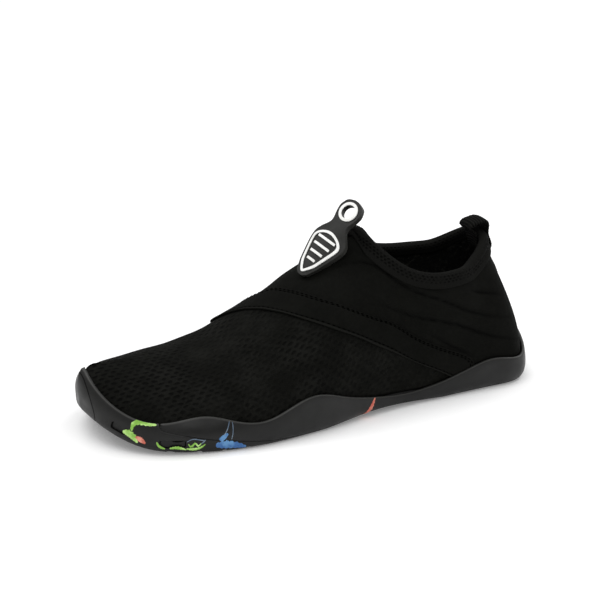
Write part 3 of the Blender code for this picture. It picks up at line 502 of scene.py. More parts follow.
def knitFabric():
    look, tree, shader, uv, spot = newLook("knitFabric", 0.8, fabric["specular"])
    loops = use(tree, knitLoops, Vector=uv, Pitch=0.5)
    tone = use(tree, unevenTone, Vector=spot, Scale=45.0, Low=0.35, High=0.7)
    # Painted shade: positive layer values darken towards the dark colour. Painted highlight: negative values
    # lighten towards the edge colour.
    paintedShading = tree.nodes.new("ShaderNodeAttribute")
    paintedShading.attribute_name = "paintedShading"
    shade = calc(tree, "MAXIMUM", calc(tree, "MULTIPLY", paintedShading.outputs["Fac"], 0.85), 0.0)
    paintedHighlight = calc(tree, "MAXIMUM", calc(tree, "MULTIPLY", paintedShading.outputs["Fac"], -1.0), 0.0)
    plain = blendColour(tree, tone, fabric["knit"], fabric["knitHigh"])
    feed(tree, shader.inputs["Base Color"], blendColour(
        tree, paintedHighlight, blendColour(tree, shade, plain, fabric["paintedShading"]), fabric["edge"]))
    fine = bump(tree, shader, loops, 0.00006, 0.35)
    bump(tree, shader, noise(tree, spot, 55.0, 2.0), 0.0006, 0.25, fine)
    return look


def bindingFabric():
    look, tree, shader, uv, spot = newLook("bindingFabric", 0.8, fabric["specular"], sheen=fabric["sheen"])
    x, y, _ = split(tree, uv)
    pit = use(tree, pitRows, Vector=jittered(tree, uv, spot, 0.7), Pitch=2.5, Row=1.6, Wide=0.85, High=0.62)
    zone = calc(tree, "MULTIPLY", remap(tree, y, 1.9, 2.7), remap(tree, y, 7.0, 7.6, 1.0, 0.0))
    pit = calc(tree, "MULTIPLY", calc(tree, "MULTIPLY", pit, zone),
               remap(tree, noise(tree, spot, 160.0, 1.0), 0.35, 0.6, 0.35, 1.0))
    ribs = calc(tree, "SINE", calc(tree, "MULTIPLY", x, 2 * pi / 0.9))
    # The pits are darkened in colour as well as bumped: painted shade in the pits.
    depth = calc(tree, "MULTIPLY", pit, 0.85)
    feed(tree, shader.inputs["Base Color"], blendColour(tree, depth, fabric["bind"], fabric["bindPitShade"]))
    fine = bump(tree, shader, ribs, 0.0001, 0.5)
    bump(tree, shader, calc(tree, "SUBTRACT", 1.0, pit), 0.0005, 0.9, fine)
    return look


def liningFabric():
    look, tree, shader, uv, spot = newLook("liningFabric", 0.9, 0.1)
    speck = remap(tree, noise(tree, spot, 420.0, 2.0), 0.5, 0.68)
    broad = remap(tree, noise(tree, spot, 90.0, 2.0), 0.4, 0.65, 0.3, 1.0)
    mask = calc(tree, "MULTIPLY", speck, broad)
    feed(tree, shader.inputs["Base Color"], blendColour(tree, mask, fabric["lining"], fabric["liningHigh"]))
    bump(tree, shader, use(tree, knitLoops, Vector=uv, Pitch=1.1), 0.0002, 0.6)
    return look


def webbingFabric():
    look, tree, shader, uv, spot = newLook("webbingFabric", 0.75, fabric["specular"], sheen=fabric["sheen"])
    ribs = use(tree, ribLines, Vector=uv, Pitch=1.6)
    # Colour follows the rib height: painted shade in the grooves and painted highlight on the rib crests.
    shade = remap(tree, ribs, -0.9, 0.8)
    feed(tree, shader.inputs["Base Color"], blendColour(tree, shade, fabric["meshPitShade"], fabric["meshToneAndHighlight"]))
    bump(tree, shader, ribs, 0.00025, 0.9)
    return look


def padFabric():
    look, tree, shader, uv, spot = newLook("padFabric", 0.9, 0.1)
    tone = use(tree, unevenTone, Vector=spot, Scale=80.0)
    feed(tree, shader.inputs["Base Color"], blendColour(tree, tone, fabric["lining"], fabric["liningHigh"]))
    bump(tree, shader, noise(tree, spot, 900.0, 2.0), 0.0002, 0.6)
    return look


moulded = {"wall": (0.0033, 0.0033, 0.0029, 1), "wallWorn": (0.0066, 0.0066, 0.0058, 1),
           "sole": (0.0045, 0.0045, 0.004, 1), "soleWorn": (0.0085, 0.0085, 0.0076, 1),
           "tab": (0.013, 0.013, 0.0115, 1), "tabWorn": (0.022, 0.022, 0.0195, 1),
           # The rim colour is a painted highlight along the rubber's rounded lip.
           "rim": (0.038, 0.038, 0.035, 1),
           # The low colour is painted shade, darkening the rubber towards the ground.
           "low": (0.0012, 0.0012, 0.0011, 1),
           "specular": 0.28}


def mouldedRubber(name, base, worn, roughness, coat=0.0):
    look, tree, shader, uv, spot = newLook(name, roughness, moulded["specular"], coat=coat)
    tone = use(tree, unevenTone, Vector=spot, Scale=35.0, Low=0.42, High=0.72)
    rim = tree.nodes.new("ShaderNodeAttribute")
    rim.attribute_name = "paintedShading"
    # Painted shade: the colour goes darker towards the ground, below about 22 mm.
    high = remap(tree, split(tree, spot)[2], 0.0, 0.022, 0.35, 1.0)
    low = blendColour(tree, high, moulded["low"], blendColour(tree, tone, base, worn))
    # Painted highlight: the shading layer lightens the rubber lip towards the rim colour.
    feed(tree, shader.inputs["Base Color"], blendColour(tree, rim.outputs["Fac"], low, moulded["rim"]))
    rough = remap(tree, noise(tree, spot, 120.0, 3.0), 0.3, 0.7, roughness - 0.06, roughness + 0.1)
    feed(tree, shader.inputs["Roughness"], rough)
    fine = bump(tree, shader, noise(tree, spot, 2600.0, 2.0), 0.00005, 0.5)
    bump(tree, shader, noise(tree, spot, 140.0, 2.0), 0.0002, 0.2, fine)
    return look


def splash(name, base, light, scale=160.0):
    look, tree, shader, uv, spot = newLook(name, 0.45, 0.4)
    tone = remap(tree, noise(tree, spot, scale, 3.0), 0.42, 0.62)
    feed(tree, shader.inputs["Base Color"], blendColour(tree, tone, base, light))
    bump(tree, shader, noise(tree, spot, 900.0, 2.0), 0.00005, 0.4)
    return look


def plainPrint():
    look, tree, shader, uv, spot = newLook("whitePrint", 0.42, 0.4)
    tone = use(tree, unevenTone, Vector=spot, Scale=120.0, Low=0.35, High=0.6)
    white = blendColour(tree, tone, (0.8, 0.8, 0.77, 1), (0.92, 0.92, 0.9, 1))
    feed(tree, shader.inputs["Base Color"], white)
    bump(tree, shader, noise(tree, spot, 900.0, 2.0), 0.00008, 0.3)
    return look


def threadLook(name, base, light):
    look, tree, shader, uv, spot = newLook(name, 0.9, 0.0)
    twist = calc(tree, "SINE", calc(tree, "MULTIPLY", split(tree, uv)[0], 2 * pi / 0.45))
    # Lighter on the twist crests and darker between them: painted highlight and painted shade.
    feed(tree, shader.inputs["Base Color"], blendColour(tree, remap(tree, twist, -0.8, 0.8), base, light))
    bump(tree, shader, twist, 0.0001, 0.5)
    return look


meshSkin, knitSkin, bindingSkin = meshFabric(), knitFabric(), bindingFabric()
liningSkin, webbingSkin, padSkin = liningFabric(), webbingFabric(), padFabric()
wallSkin = mouldedRubber("wallRubber", moulded["wall"], moulded["wallWorn"], 0.4, 0.03)
soleSkin = mouldedRubber("soleRubber", moulded["sole"], moulded["soleWorn"], 0.46, 0.03)
tabSkin = mouldedRubber("tabRubber", moulded["tab"], moulded["tabWorn"], 0.45, 0.05)
printSkin = plainPrint()
darkThread = threadLook("darkThread", (0.0002, 0.0002, 0.0002, 1), (0.0008, 0.0008, 0.0007, 1))
greenSkin = splash("greenSplash", (0.22, 0.46, 0.06, 1), (0.5, 0.78, 0.24, 1))
orangeSkin = splash("orangeSplash", (0.5, 0.09, 0.055, 1), (0.75, 0.3, 0.22, 1))
blueSkin = splash("blueSplash", (0.03, 0.12, 0.33, 1), (0.1, 0.26, 0.5, 1))
shadeSkin, _, shadeShader, _, _ = newLook("lineShade", 0.8, 0.1)
shadeShader.inputs["Base Color"].default_value = (0.0025, 0.0025, 0.0023, 1)
print("materials made")


# The upper's shell: open mesh in front of the band, smooth knit behind it, heathered lining inside.
shell = {
    "columnsPerRow": 14, "outerSteps": 60, "innerSteps": 24,
    "bandLow": ((2.99, 0.063), (3.24, 0.126), (3.73, 0.214), (4.22, 0.258), (4.78, 0.308), (5.3, 0.365),
                (5.86, 0.428), (6.35, 0.516), (6.78, 0.623), (7.09, 0.711), (7.43, 0.811), (7.72, 0.91),
                (7.95, 1), (8.05, 1.08), (8.12, 1.16), (8.17, 1.25), (8.15, 1.34), (7.95, 1.43), (7.5, 1.52),
                (6.9, 1.6), (6.2, 1.67), (5.4, 1.73), (4.6, 1.79), (4, 1.85), (3.55, 1.92), (3.4, 1.945)),
    "bandHigh": ((2.5, 0.09), (2.57, 0.201), (2.77, 0.264), (3.18, 0.345), (3.6, 0.415), (4.16, 0.45),
                 (4.75, 0.468), (5.18, 0.495), (5.52, 0.522), (5.89, 0.57), (6.29, 0.652), (6.54, 0.73),
                 (6.75, 0.811), (6.97, 0.91), (7.13, 1), (7.28, 1.07), (7.4, 1.14), (7.46, 1.21), (7.4, 1.29),
                 (7.1, 1.36), (6.6, 1.43), (6, 1.49), (5.3, 1.53), (4.5, 1.56), (3.9, 1.6), (3.4, 1.68),
                 (3.1, 1.77), (2.95, 1.88)),
    "pleats": (
        {"line": ((4.69, 0.547), (4.16, 0.56), (3.79, 0.6), (3.51, 0.605), (3.11, 0.56), (2.5, 0.459),
                  (1.85, 0.352), (1.08, 0.233)), "depth": 0.001, "wide": 0.0009},
        {"line": ((5.92, 0.8), (4.9, 0.78), (4.3, 0.8), (3.7, 0.818), (3.33, 0.774), (2.96, 0.692),
                  (2.25, 0.591), (1.2, 0.44)), "depth": 0.00085, "wide": 0.0009},
        {"line": ((2.47, 0.811), (1.76, 0.723), (1.23, 0.629)), "depth": 0.0007, "wide": 0.0008},
        {"line": ((3.6, 0.485), (3.42, 0.453), (3.18, 0.377), (2.81, 0.296), (2.53, 0.22)),
         "depth": 0.0007, "wide": 0.0008},
    ),
    "uneven": 0.00025, "toeSink": 0.0008, "toeSoft": 0.009, "climb": 1.15, "onCollar": 0.2,
    "swellAbove": 0.75, "swellBelow": 0.35, "swellAt": 2.8, "swellWide": 2.1,
    "meshEnd": 0.25, "meshSpare": 0.07,
}


def through(points, count, share=0.36):
    at = runLength(np.array(points) * (share, 1))
    return Spline(at / at[-1], points)(np.linspace(0, 1, count))


def seamPlace(row, over):
    return np.where(over > 1, 2 * rows - row, row), np.where(over > 1, 2 - over, over)


bandLow, bandHigh = through(shell["bandLow"], 400), through(shell["bandHigh"], 400)


def toLine(points, line):
    best = np.full(points.shape[:-1], np.inf)
    where = np.zeros(points.shape[:-1], int)
    for k, spot in enumerate(line):
        away = ((points - spot) ** 2).sum(-1)
        closer = away < best
        best, where = np.where(closer, away, best), np.where(closer, k, where)
    return np.sqrt(best), where


# How far the cloth stands off the last, and how deep in a pleat each place is; the pleat depth is also
# painted into the colour as painted shade.
def relief(r, v, points):
    x, y, z = (points[..., k] * 1000 for k in range(3))
    height = shell["uneven"] * (np.sin(x * 0.11 + 1.3) * np.sin(z * 0.13 + y * 0.05) +
                                0.5 * np.sin(x * 0.23 - z * 0.19 + 0.7))
    deep = np.zeros(height.shape)
    for side in (1, -1):
        for pleat in shell["pleats"]:
            path = through(pleat["line"], 90)
            dense = wall((side * path[:, 0]) % (2 * rows), np.clip(path[:, 1], 0, 1))
            away, where = toLine(points, dense)
            along = where / (len(path) - 1)
            fade = np.clip(np.sin(pi * np.clip(along * 0.94 + 0.03, 0, 1)), 0, 1) ** 0.6
            above = v > path[where, 1]
            wide = pleat["wide"]
            dip = np.exp(-(away / wide) ** 2)
            swell = np.exp(-((away - shell["swellAt"] * wide) / (shell["swellWide"] * wide)) ** 2)
            swell = np.where(above, shell["swellAbove"], shell["swellBelow"]) * swell
            height += pleat["depth"] * fade * (swell - dip)
            deep = np.maximum(deep, dip * fade)
    corner = ((points - topEdge(rows)) ** 2).sum(-1) / shell["toeSoft"] ** 2
    return height * np.clip((1 - v) * 12, 0, 1) - shell["toeSink"] * np.exp(-corner), deep


def ridgeMap(points):
    at = np.linspace(collarRows, rows, 120)
    line = topEdge(at)
    x = points[..., 0]
    acrossRidge = np.abs(points[..., 1] - np.interp(x, line[:, 0], line[:, 1])) * 1000
    below = np.maximum(np.interp(x, line[:, 0], line[:, 2]) - points[..., 2], 0) * 1000
    return np.stack((x * 1000, (acrossRidge**1.4 + below**1.4) ** (1 / 1.4)), -1)


def inFrontOfBand(r, v):
    line = bandLow + shell["meshEnd"] * (bandHigh - bandLow)
    row = rowOf(r)
    over = np.where(r > rows, 2 - v, v)
    inFront = np.zeros(row.shape, bool)
    for part in (line[line[:, 1] <= 1], line[line[:, 1] > 1]):
        order = np.argsort(part[:, 1])
        at, share = part[order, 0], part[order, 1]
        spare = shell["meshSpare"]
        here = (over >= share[0] - spare) & (over <= share[-1] + spare)
        inFront |= here & (row > np.interp(over, share, at))
    return inFront


def makeUpper():
    around = np.linspace(0, 2 * rows, 2 * rows * shell["columnsPerRow"] + 1)
    up = 1 - (1 - np.linspace(0, 1, shell["outerSteps"] + 1)) ** shell["climb"]
    r, v = np.meshgrid(around, up, indexing="ij")
    points = wall(r, v)
    height, deep = relief(r, v, points)
    outer = points + normalAt(r, v) * height[..., None]
    uv = ridgeMap(points)
    slotOf = np.where(inFrontOfBand(r[:-1, :-1], v[:-1, :-1]), 0, 1)
    up = np.linspace(0, 1, shell["innerSteps"] + 1)
    r, v = np.meshgrid(around, up, indexing="ij")
    inner = skin(r, v, -last["wall"])
    innerUv = ridgeMap(inner)
    patches = [(outer, uv, slotOf), (inner, innerUv, 2)]
    patches.append((np.stack((outer[:, 0], inner[:, 0]), 1), np.stack((uv[:, 0], innerUv[:, 0]), 1), 2))
    onCollarEdge = rowOf(around) <= collarRows + shell["onCollar"]
    for chosen in (onCollarEdge & (around <= rows), onCollarEdge & (around > rows)):
        patches.append((np.stack((outer[chosen, -1], inner[chosen, -1]), 1),
                        np.stack((uv[chosen, -1], innerUv[chosen, -1]), 1), 1))
    # The pleat depth goes into the shading layer as painted shade along the pleats.
    shades = [deep] + [np.zeros(points.shape[:2]) for points, _, _ in patches[1:]]
    skins = (meshSkin, knitSkin, liningSkin)
    return buildPiece("upperFabric", patches, skins, ("upper",), shades=shades)


makeUpper()
print("upper made")

# The band that crosses the instep, folded under at its front edge and stitched flat at its back edge.
bandLook = {
    "offset": 0.0004, "thick": 0.00095,
    "fromLow": (0, 0.08, 0.25, 0.55, 1.0, 1.5, 1.85, 2.1, 2.35, 2.8, 3.6),
    "lowRise": (0, 0.55, 0.9, 1.12, 1.15, 1.02, 0.84, 0.78, 0.86, 1.0, 1.0),
    "fromHigh": (4.6, 3.7, 3.3, 3.0, 2.7, 2.3, 1.9, 1.6, 1.3, 0.8, 0.4, 0),
    "highRise": (1.0, 0.92, 0.78, 0.72, 0.78, 0.86, 0.78, 0.7, 0.74, 0.62, 0.35, 0.0),
    # Painted shading across the band: positive values are painted shade under the folded front edge and along
    # the stitch rows, negative values a painted highlight on the fold.
    "lowEdgeShadeAndHighlight": (0.6, 0.2, -0.3, -0.6, -0.5, -0.1, 0.35, 0.6, 0.35, 0, 0),
    "highStitchShade": (0, 0, 0.25, 0.4, 0.25, 0, 0.25, 0.4, 0.25, 0, 0, 0), "steps": 300, "fill": 10,
}


def bandRun(count, fromLow=(), fromHigh=(), fill=0):
    low, high = through(shell["bandLow"], count), through(shell["bandHigh"], count)
    a, b = wall(*seamPlace(low[:, 0], low[:, 1])), wall(*seamPlace(high[:, 0], high[:, 1]))
    width = np.linalg.norm(b - a, axis=-1)[:, None] * 1000
    parts = []
    if len(fromLow):
        parts.append(np.array(fromLow)[None] / width)
    if fill:
        first, final = fromLow[-1] / width, 1 - fromHigh[0] / width
        parts.append(first + (final - first) * np.linspace(0, 1, fill + 2)[None, 1:-1])
    if len(fromHigh):
        parts.append(1 - np.array(fromHigh)[None] / width)
    share = np.concatenate(parts, 1)
    r, v = seamPlace(low[:, :1] + (high - low)[:, :1] * share, low[:, 1:] + (high - low)[:, 1:] * share)
    rim = np.array([shareAtHeight(line, rimHeight(line) + 0.0003) for line in r])
    return r, np.maximum(v, rim), share, width


def makeBand():
    r, v, share, width = bandRun(bandLook["steps"], bandLook["fromLow"], bandLook["fromHigh"],
                                 bandLook["fill"])
    riseShares = np.concatenate((bandLook["lowRise"], np.ones(bandLook["fill"]), bandLook["highRise"]))
    base = wall(r, v)
    swell, _ = relief(r, v, base)
    height = bandLook["offset"] + bandLook["thick"] * riseShares[None] + swell
    top = base + normalAt(r, v) * height[..., None]
    along = runLength(top[:, 0])[:, None] * 1000 + 0 * share
    uv = np.stack((along, share * width), -1)
    # Painted shade and painted highlight for the band, laid into the shading layer.
    paintedShadingMarks = np.zeros(r.shape)
    paintedShadingMarks[:, :len(bandLook["lowEdgeShadeAndHighlight"])] = bandLook["lowEdgeShadeAndHighlight"]
    paintedShadingMarks[:, -len(bandLook["highStitchShade"]):] = bandLook["highStitchShade"]
    return buildPiece("saddleBand", [(top, uv, 0)], (knitSkin,), ("saddle_band",),
                      shades=[paintedShadingMarks])


makeBand()
print("band made")

# Thread that shows as short dashes, sunk a little into the cloth.
threads = {"radius": 0.00027, "length": 0.0021, "pitch": 0.0031, "sunk": 0.8,
           "rows": (("low", 2.1, 0), ("high", 3.0, 0),
                                                                       ("high", 1.6, 0.5))}


def dashes(name, lines, look=darkThread):
    patches = []
    turns, steps = 8, 5
    for points, normals, start in lines:
        run = runLength(points)
        for at in np.arange((0.5 + start) * threads["pitch"], run[-1] - threads["pitch"], threads["pitch"]):
            centre = np.array([np.interp(at, run, points[:, k]) for k in range(3)])
            ahead = unit(np.array([np.interp(at + 0.0006, run, points[:, k]) for k in range(3)]) - centre)
            up = unit(np.array([np.interp(at, run, normals[:, k]) for k in range(3)]))
            beside = unit(np.cross(up, ahead))
            t = np.linspace(-1, 1, steps)
            ring = np.linspace(0, 2 * pi, turns + 1)
            fat = np.sqrt(np.maximum(1 - t**4, 0.02)) * threads["radius"]
            drop = -(t**2) * 0.5 * threads["radius"]
            turned = np.cos(ring)[None, :, None] * beside + np.sin(ring)[None, :, None] * up
            grid = (centre + t[:, None, None] * threads["length"] / 2 * ahead + drop[:, None, None] * up +
                    fat[:, None, None] * turned)
            uv = np.stack(np.broadcast_arrays(t[:, None] * threads["length"] * 500, ring[None] * 0.3), -1)
            patches.append((grid, uv, 0))
    return buildPiece(name, patches, (look,), weld=1e-7)


def makeBandStitches():
    lines = []
    for edge, distance, start in threads["rows"]:
        spots = ((distance,), ()) if edge == "low" else ((), (distance,))
        r, v, _, _ = bandRun(400, *spots)
        base = wall(r, v)
        normal = normalAt(r, v)
        height = bandLook["offset"] + bandLook["thick"] * threads["sunk"] + relief(r, v, base)[0]
        line = (base + normal * height[..., None])[:, 0]
        keep = np.linalg.norm(np.diff(line, axis=0, prepend=line[:1] - 1), axis=-1) > 1e-5
        lines.append((line[keep], normal[:, 0][keep], start))
    return dashes("bandStitches", lines)


makeBandStitches()
print("band stitches made")


# Places (r, v) on the wall nearest to the targets, from a rough net of places first.
def settled(targets, places):
    rNet, vNet = np.meshgrid(places, np.linspace(0.3, 1, 36), indexing="ij")
    net = wall(places[:, None], np.linspace(0.3, 1, 36))
    nearest = [np.argmin(((net - target) ** 2).sum(-1)) for target in targets]
    r, v = rNet.ravel()[nearest], vNet.ravel()[nearest]
    small = 1e-3
    for _ in range(8):
        near = np.clip(v, small, 1 - small)
        here, ahead, behind, above, below = wall(np.stack((r, r + small, r - small, r, r)),
                                                 np.stack((v, near, near, near + small, near - small)))
        toR, toV, miss = (ahead - behind) / (2 * small), (above - below) / (2 * small), targets - here
        rr, vv, rv = (toR**2).sum(-1), (toV**2).sum(-1), (toR * toV).sum(-1)
        mr, mv = (miss * toR).sum(-1), (miss * toV).sum(-1)
        whole = rr * vv - rv**2 + 1e-18
        r = np.clip(r + np.clip((mr * vv - mv * rv) / whole, -0.1, 0.1), places[0], places[-1])
        v = np.clip(v + np.clip((mv * rr - mr * rv) / whole, -0.05, 0.05), 0, 1)
    return r, v


# The collar's elastic binding: a soft roll on the edge, a pitted strip below it on both faces.
bindingLook = {
    "perRow": 9, "outside": (7.5, 7.35, 7.0, 6.0, 5.0, 4.0, 3.1, 2.5, 1.9, 1.2, 0.5),
    "swell": (-0.45, -0.1, 0.02, 0.05, 0.06, 0.04, -0.02, -0.12, 0.2, 0.45, 0.4),
    "inside": (0.6, 1.6, 2.6, 3.8, 4.6, 5.0), "insideSwell": (0.35, 0.3, 0.05, 0.05, 0.0, -0.4),
    "near": 0.00045, "thick": 0.0008, "over": 0.00075, "clear": 0.0012, "loose": (0.0002, 0.0003),
    "turns": (35, 65, 90, 115, 145), "back": (0.005, 0.0025), "front": (0.004, 0.0075),
}


def makeBinding():
    fine = np.linspace(0, collarRows, 400)
    stations = np.linspace(0, collarRows, collarRows * bindingLook["perRow"] + 1)
    near, thick, over = bindingLook["near"], bindingLook["thick"], bindingLook["over"]
    lift, deep = near + thick, last["wall"] + bindingLook["clear"]
    rings = []
    for side in (1, -1):
        places = side * stations
        if side < 0:
            places = places[1:-1]
        edge = topEdge(places)
        step = 0.05
        ahead = np.interp(np.clip(eased(np.abs(places)) + step, 0, collarRows), eased(fine), fine)
        behind = np.interp(np.clip(eased(np.abs(places)) - step, 0, collarRows), eased(fine), fine)
        run = topEdge(side * ahead) - topEdge(side * behind)
        atEnds = (np.abs(places) < 1e-6) | (np.abs(places) > collarRows - 1e-6)
        run = np.where(atEnds[:, None], np.array((0, 1, 0)), run)
        normal = unit(skin(places, np.ones(len(places)), 1.0) - edge)
        down = unit(np.cross(normal, unit(run)))
        inside = wall(places, np.full(len(places), 0.8)) - edge
        down = down * np.sign((down * inside).sum(-1))[:, None]
        reach = np.sort(np.arange(0, 7.01, 0.1) * side)

        def leg(distance, offset):
            r, v = settled(edge + distance * down, reach)
            return skin(r, v, offset)

        profile = [leg(d / 1000, lift + s / 1000)
                   for d, s in zip(bindingLook["outside"], bindingLook["swell"])]
        crest, half = -down * (over + thick), (deep + thick + lift) / 2
        middle = edge + normal * (lift - half) - down * over
        for angle in bindingLook["turns"]:
            turn = radians(angle)
            aside = (half + bindingLook["loose"][0]) * cos(turn)
            below = (thick + bindingLook["loose"][1]) * sin(turn)
            profile.append(middle + normal * aside - down * below)
        profile += [leg(d / 1000, -deep - thick - s / 1000)
                    for d, s in zip(bindingLook["inside"], bindingLook["insideSwell"])]
        profile += [leg(d, -deep) for d in bindingLook["back"]]
        profile += [edge - normal * deep - down * over, edge + normal * near - down * over]
        profile += [leg(d, near) for d in bindingLook["front"]]
        stack = np.stack(profile, axis=1)
        rings.append(stack if side > 0 else stack[::-1])
    points = np.concatenate(rings)
    points = np.concatenate((points, points[:1]))
    points = np.concatenate((points, points[:, :1]), 1)
    alongEdge = runLength(points[:, 12])[:, None] * 1000
    aroundIt = np.cumsum(np.linalg.norm(np.diff(points, axis=1, prepend=points[:, :1]), axis=-1), 1) * 1000
    aroundIt = aroundIt[:, 12:13] - aroundIt
    uv = np.stack(np.broadcast_arrays(alongEdge, np.abs(aroundIt)), -1)
    return buildPiece("collarBinding", [(points, uv, 0)], (bindingSkin,), ("collar_binding",))


makeBinding()
print("binding made")

# The webbing on the heel: up the back, over the collar in a loop, and down inside.
tape = {"width": 0.014, "thick": 0.0012, "loop": 0.0066, "reach": 0.008, "inside": 0.008, "stations": 150,
        "ribs": 0.00012, "pitch": 0.0016, "edge": 0.0003, "strip": 0.0075,
        "arch": ((-0.36, 0.5, 180), (-0.34, 0.95, 150), (-0.1, 1.12, 100), (0.5, 1.05, 85),
                 (0.92, 0.86, 60), (1.02, 0.62, 0), (0.9, 0.4, -60), (0.62, 0.12, -50))}


def makeHeelTape():
    across = np.linspace(-0.5, 0.5, 17) * tape["width"]
    rNet = np.linspace(-2, 2, 161)

    def onHeel(v, offset):
        line = wall(rNet, np.full(len(rNet), v))
        r = np.interp(across, line[:, 1], rNet)
        return skin(r, np.full(len(r), v), offset)

    edge = onHeel(1, 0)
    over = 2.5 * gap + bindingLook["thick"] + tape["edge"]
    lower = shareAtHeight(np.array((0.0,)), rimHeight(np.array((0.0,))) + 4 * gap)[0]
    below = shareBelowTop(0.0, tape["strip"] + 3 * tape["thick"])
    beside = shareBelowTop(0.0, tape["strip"] + tape["thick"])
    inner = -(last["wall"] + 5 * gap + bindingLook["thick"] + tape["thick"])
    path = []
    for v in np.linspace(lower, below, 6):
        path.append((onHeel(v, gap * 1.2), onHeel(v, gap * 1.2 + tape["thick"])))
    for v in (beside, 0.99):
        path.append((onHeel(v, over), onHeel(v, over + tape["thick"])))
    for back, up, turn in tape["arch"]:
        middle = edge + np.array((back * tape["reach"], 0, up * tape["loop"]))
        half = np.array((cos(radians(turn)), 0, sin(radians(turn)))) * tape["thick"] / 2
        path.append((middle - half, middle + half))
    for distance in (0.3, 1):
        v = shareBelowTop(0.0, distance * tape["inside"])
        path.append((onHeel(v, inner + tape["thick"]), onHeel(v, inner)))
    near, far = np.stack([p[0] for p in path]), np.stack([p[1] for p in path])
    centre = (near + far)[:, 8] / 2
    at = runLength(centre)
    fine = np.linspace(0, at[-1], tape["stations"])
    flat = np.concatenate((near, far), 1).reshape(len(path), -1)
    dense = Spline(at, flat)(fine).reshape(len(fine), 2, len(across), 3)
    near, far = dense[:, 0], dense[:, 1]
    passage = unit(far - near)
    rib = tape["ribs"] * np.sin(2 * pi * fine / tape["pitch"])[:, None, None]
    edgeFade = (1 - np.abs(np.linspace(-1, 1, len(across))) ** 8)[None, :, None]
    thinned = rib - tape["edge"] * (1 - edgeFade)
    far = far + passage * thinned
    near = near - passage * thinned
    ring = np.concatenate((near, far[:, ::-1], near[:, :1]), 1)
    uv = np.stack(np.broadcast_arrays(
        np.concatenate((across, across[::-1], across[:1]))[None] * 1000, fine[:, None] * 1000), -1)
    ends = []
    for i in (0, -1):
        ends.append((np.stack((near[i], far[i])), np.stack((uv[i, :17], uv[i, :17])), 0))
    return buildPiece("heelTape", [(ring, uv, 0)] + ends, (webbingSkin,), ("heel_tape",))


makeHeelTape()
print("heel tape made")


# The rubber: a wall from the parting line to its wavy rim, and the sole that turns up around the toe.
rubberLook = {
    "perRow": 14, "wallSteps": 16, "soleSteps": 22, "lip": 0.0011, "seam": 0.00022,
    "grooves": (0.09, 0.14, 0.19, 0.62, 0.67, 0.72, 0.77, 0.82, 0.87),
    "grooveWide": 0.0026, "grooveDeep": 0.0015,
    "drains": (("frontDrain", 10.7, 0.6, 0.0098), ("sideDrain", 9.44, 0.5, 0.0145)),
    "drainHigh": 0.0044, "drainDeep": 0.0013, "drainCorner": 0.0013,
    "toeLine": ((11.52, 0.05), (11.5, 0.12), (11.4, 0.32), (11.36, 0.54), (11.42, 0.76), (11.56, 0.88),
                (12, 0.93), (12.5, 0.9), (12.62, 0.76), (12.66, 0.54), (12.6, 0.32), (12.5, 0.12),
                (12.48, 0.05)),
}


def innerLine(r, height, offset):
    low = feather(r)
    onWall = wall(r, shareAtHeight(r, height)) + outward(r) * offset
    onWall[..., 2] = np.maximum(height, low[..., 2])
    below = low + outward(r) * offset
    below[..., 2] = height
    return np.where((height >= low[..., 2])[..., None], onWall, below)


def lipOver(r, height):
    lip = rubberLook["lip"]
    start = rubberShare(r, height - lip)
    a = rubber(r, start[:, None])[:, 0]
    b = rubber(r, np.ones((len(r), 1)))[:, 0] + np.array((0, 0, 0.0001))
    b[:, 2] = height + 0.0001
    c = innerLine(r, height, 0.0004) + np.array((0, 0, 0.0001))
    d = innerLine(r, height - lip * 0.8, 0.0003)
    t = np.linspace(0, 1, 9)[1:, None, None]
    curve = a * (1 - t) ** 3 + 3 * b * t * (1 - t) ** 2 + 3 * c * t * t * (1 - t) + d * t**3
    return start, np.moveaxis(curve, 0, 1)


def rubberUv(points):
    along = runLength(points[:, 0])[:, None] * 1000
    up = np.cumsum(np.linalg.norm(np.diff(points, axis=1, prepend=points[:, :1]), axis=-1), 1) * 1000
    return np.stack(np.broadcast_arrays(along, up), -1)


# Painted highlight along the rubber lip, laid into the shading layer.
def paintedLipHighlight(ring, first):
    paintedShadingMarks = np.zeros(ring.shape[:2])
    paintedShadingMarks[:, first - 1:first + 4] = (0.05, 0.4, 0.75, 0.55, 0.1)
    return paintedShadingMarks


def makeSidewall():
    end = last["partingRows"][-1]
    r = np.linspace(-end + 0.006, end - 0.006, int(2 * end * rubberLook["perRow"]) + 1) % (2 * rows)
    low = partingHeight(r) + rubberLook["seam"]
    high = np.maximum(rimHeight(r), low + 2 * rubberLook["lip"])
    start, lip = lipOver(r, high)
    first = rubberShare(r, low)
    share = first[:, None] + (start - first)[:, None] * np.linspace(0, 1, rubberLook["wallSteps"] + 1)
    outer = rubber(r, share)
    inner = [innerLine(r, (high - rubberLook["lip"]) * (1 - s) + low * s, 0.0003) for s in (0.5, 1)]
    ring = np.concatenate((outer, lip, np.stack(inner, 1), outer[:, :1]), 1)
    uv = rubberUv(ring)
    ends = [(np.stack((ring[i, :13], ring[i, 25:12:-1])), np.stack((uv[i, :13], uv[i, 25:12:-1])), 0)
            for i in (0, -1)]
    paintedShadingMarks = paintedLipHighlight(ring, rubberLook["wallSteps"] + 1)
    return buildPiece("sidewallRubber", [(ring, uv, 0)] + ends, (wallSkin,), ("sidewall",),
                      shades=[paintedShadingMarks] + [np.zeros(end[0].shape[:2]) for end in ends])


def grooveLift(x):
    lift = np.zeros(np.shape(x))
    for share in rubberLook["grooves"]:
        away = np.abs(x - (share - 0.5) * last["length"]) / (rubberLook["grooveWide"] / 2)
        lift = np.maximum(lift, rubberLook["grooveDeep"] * np.clip((1.12 - away) / 0.24, 0, 1))
    return lift


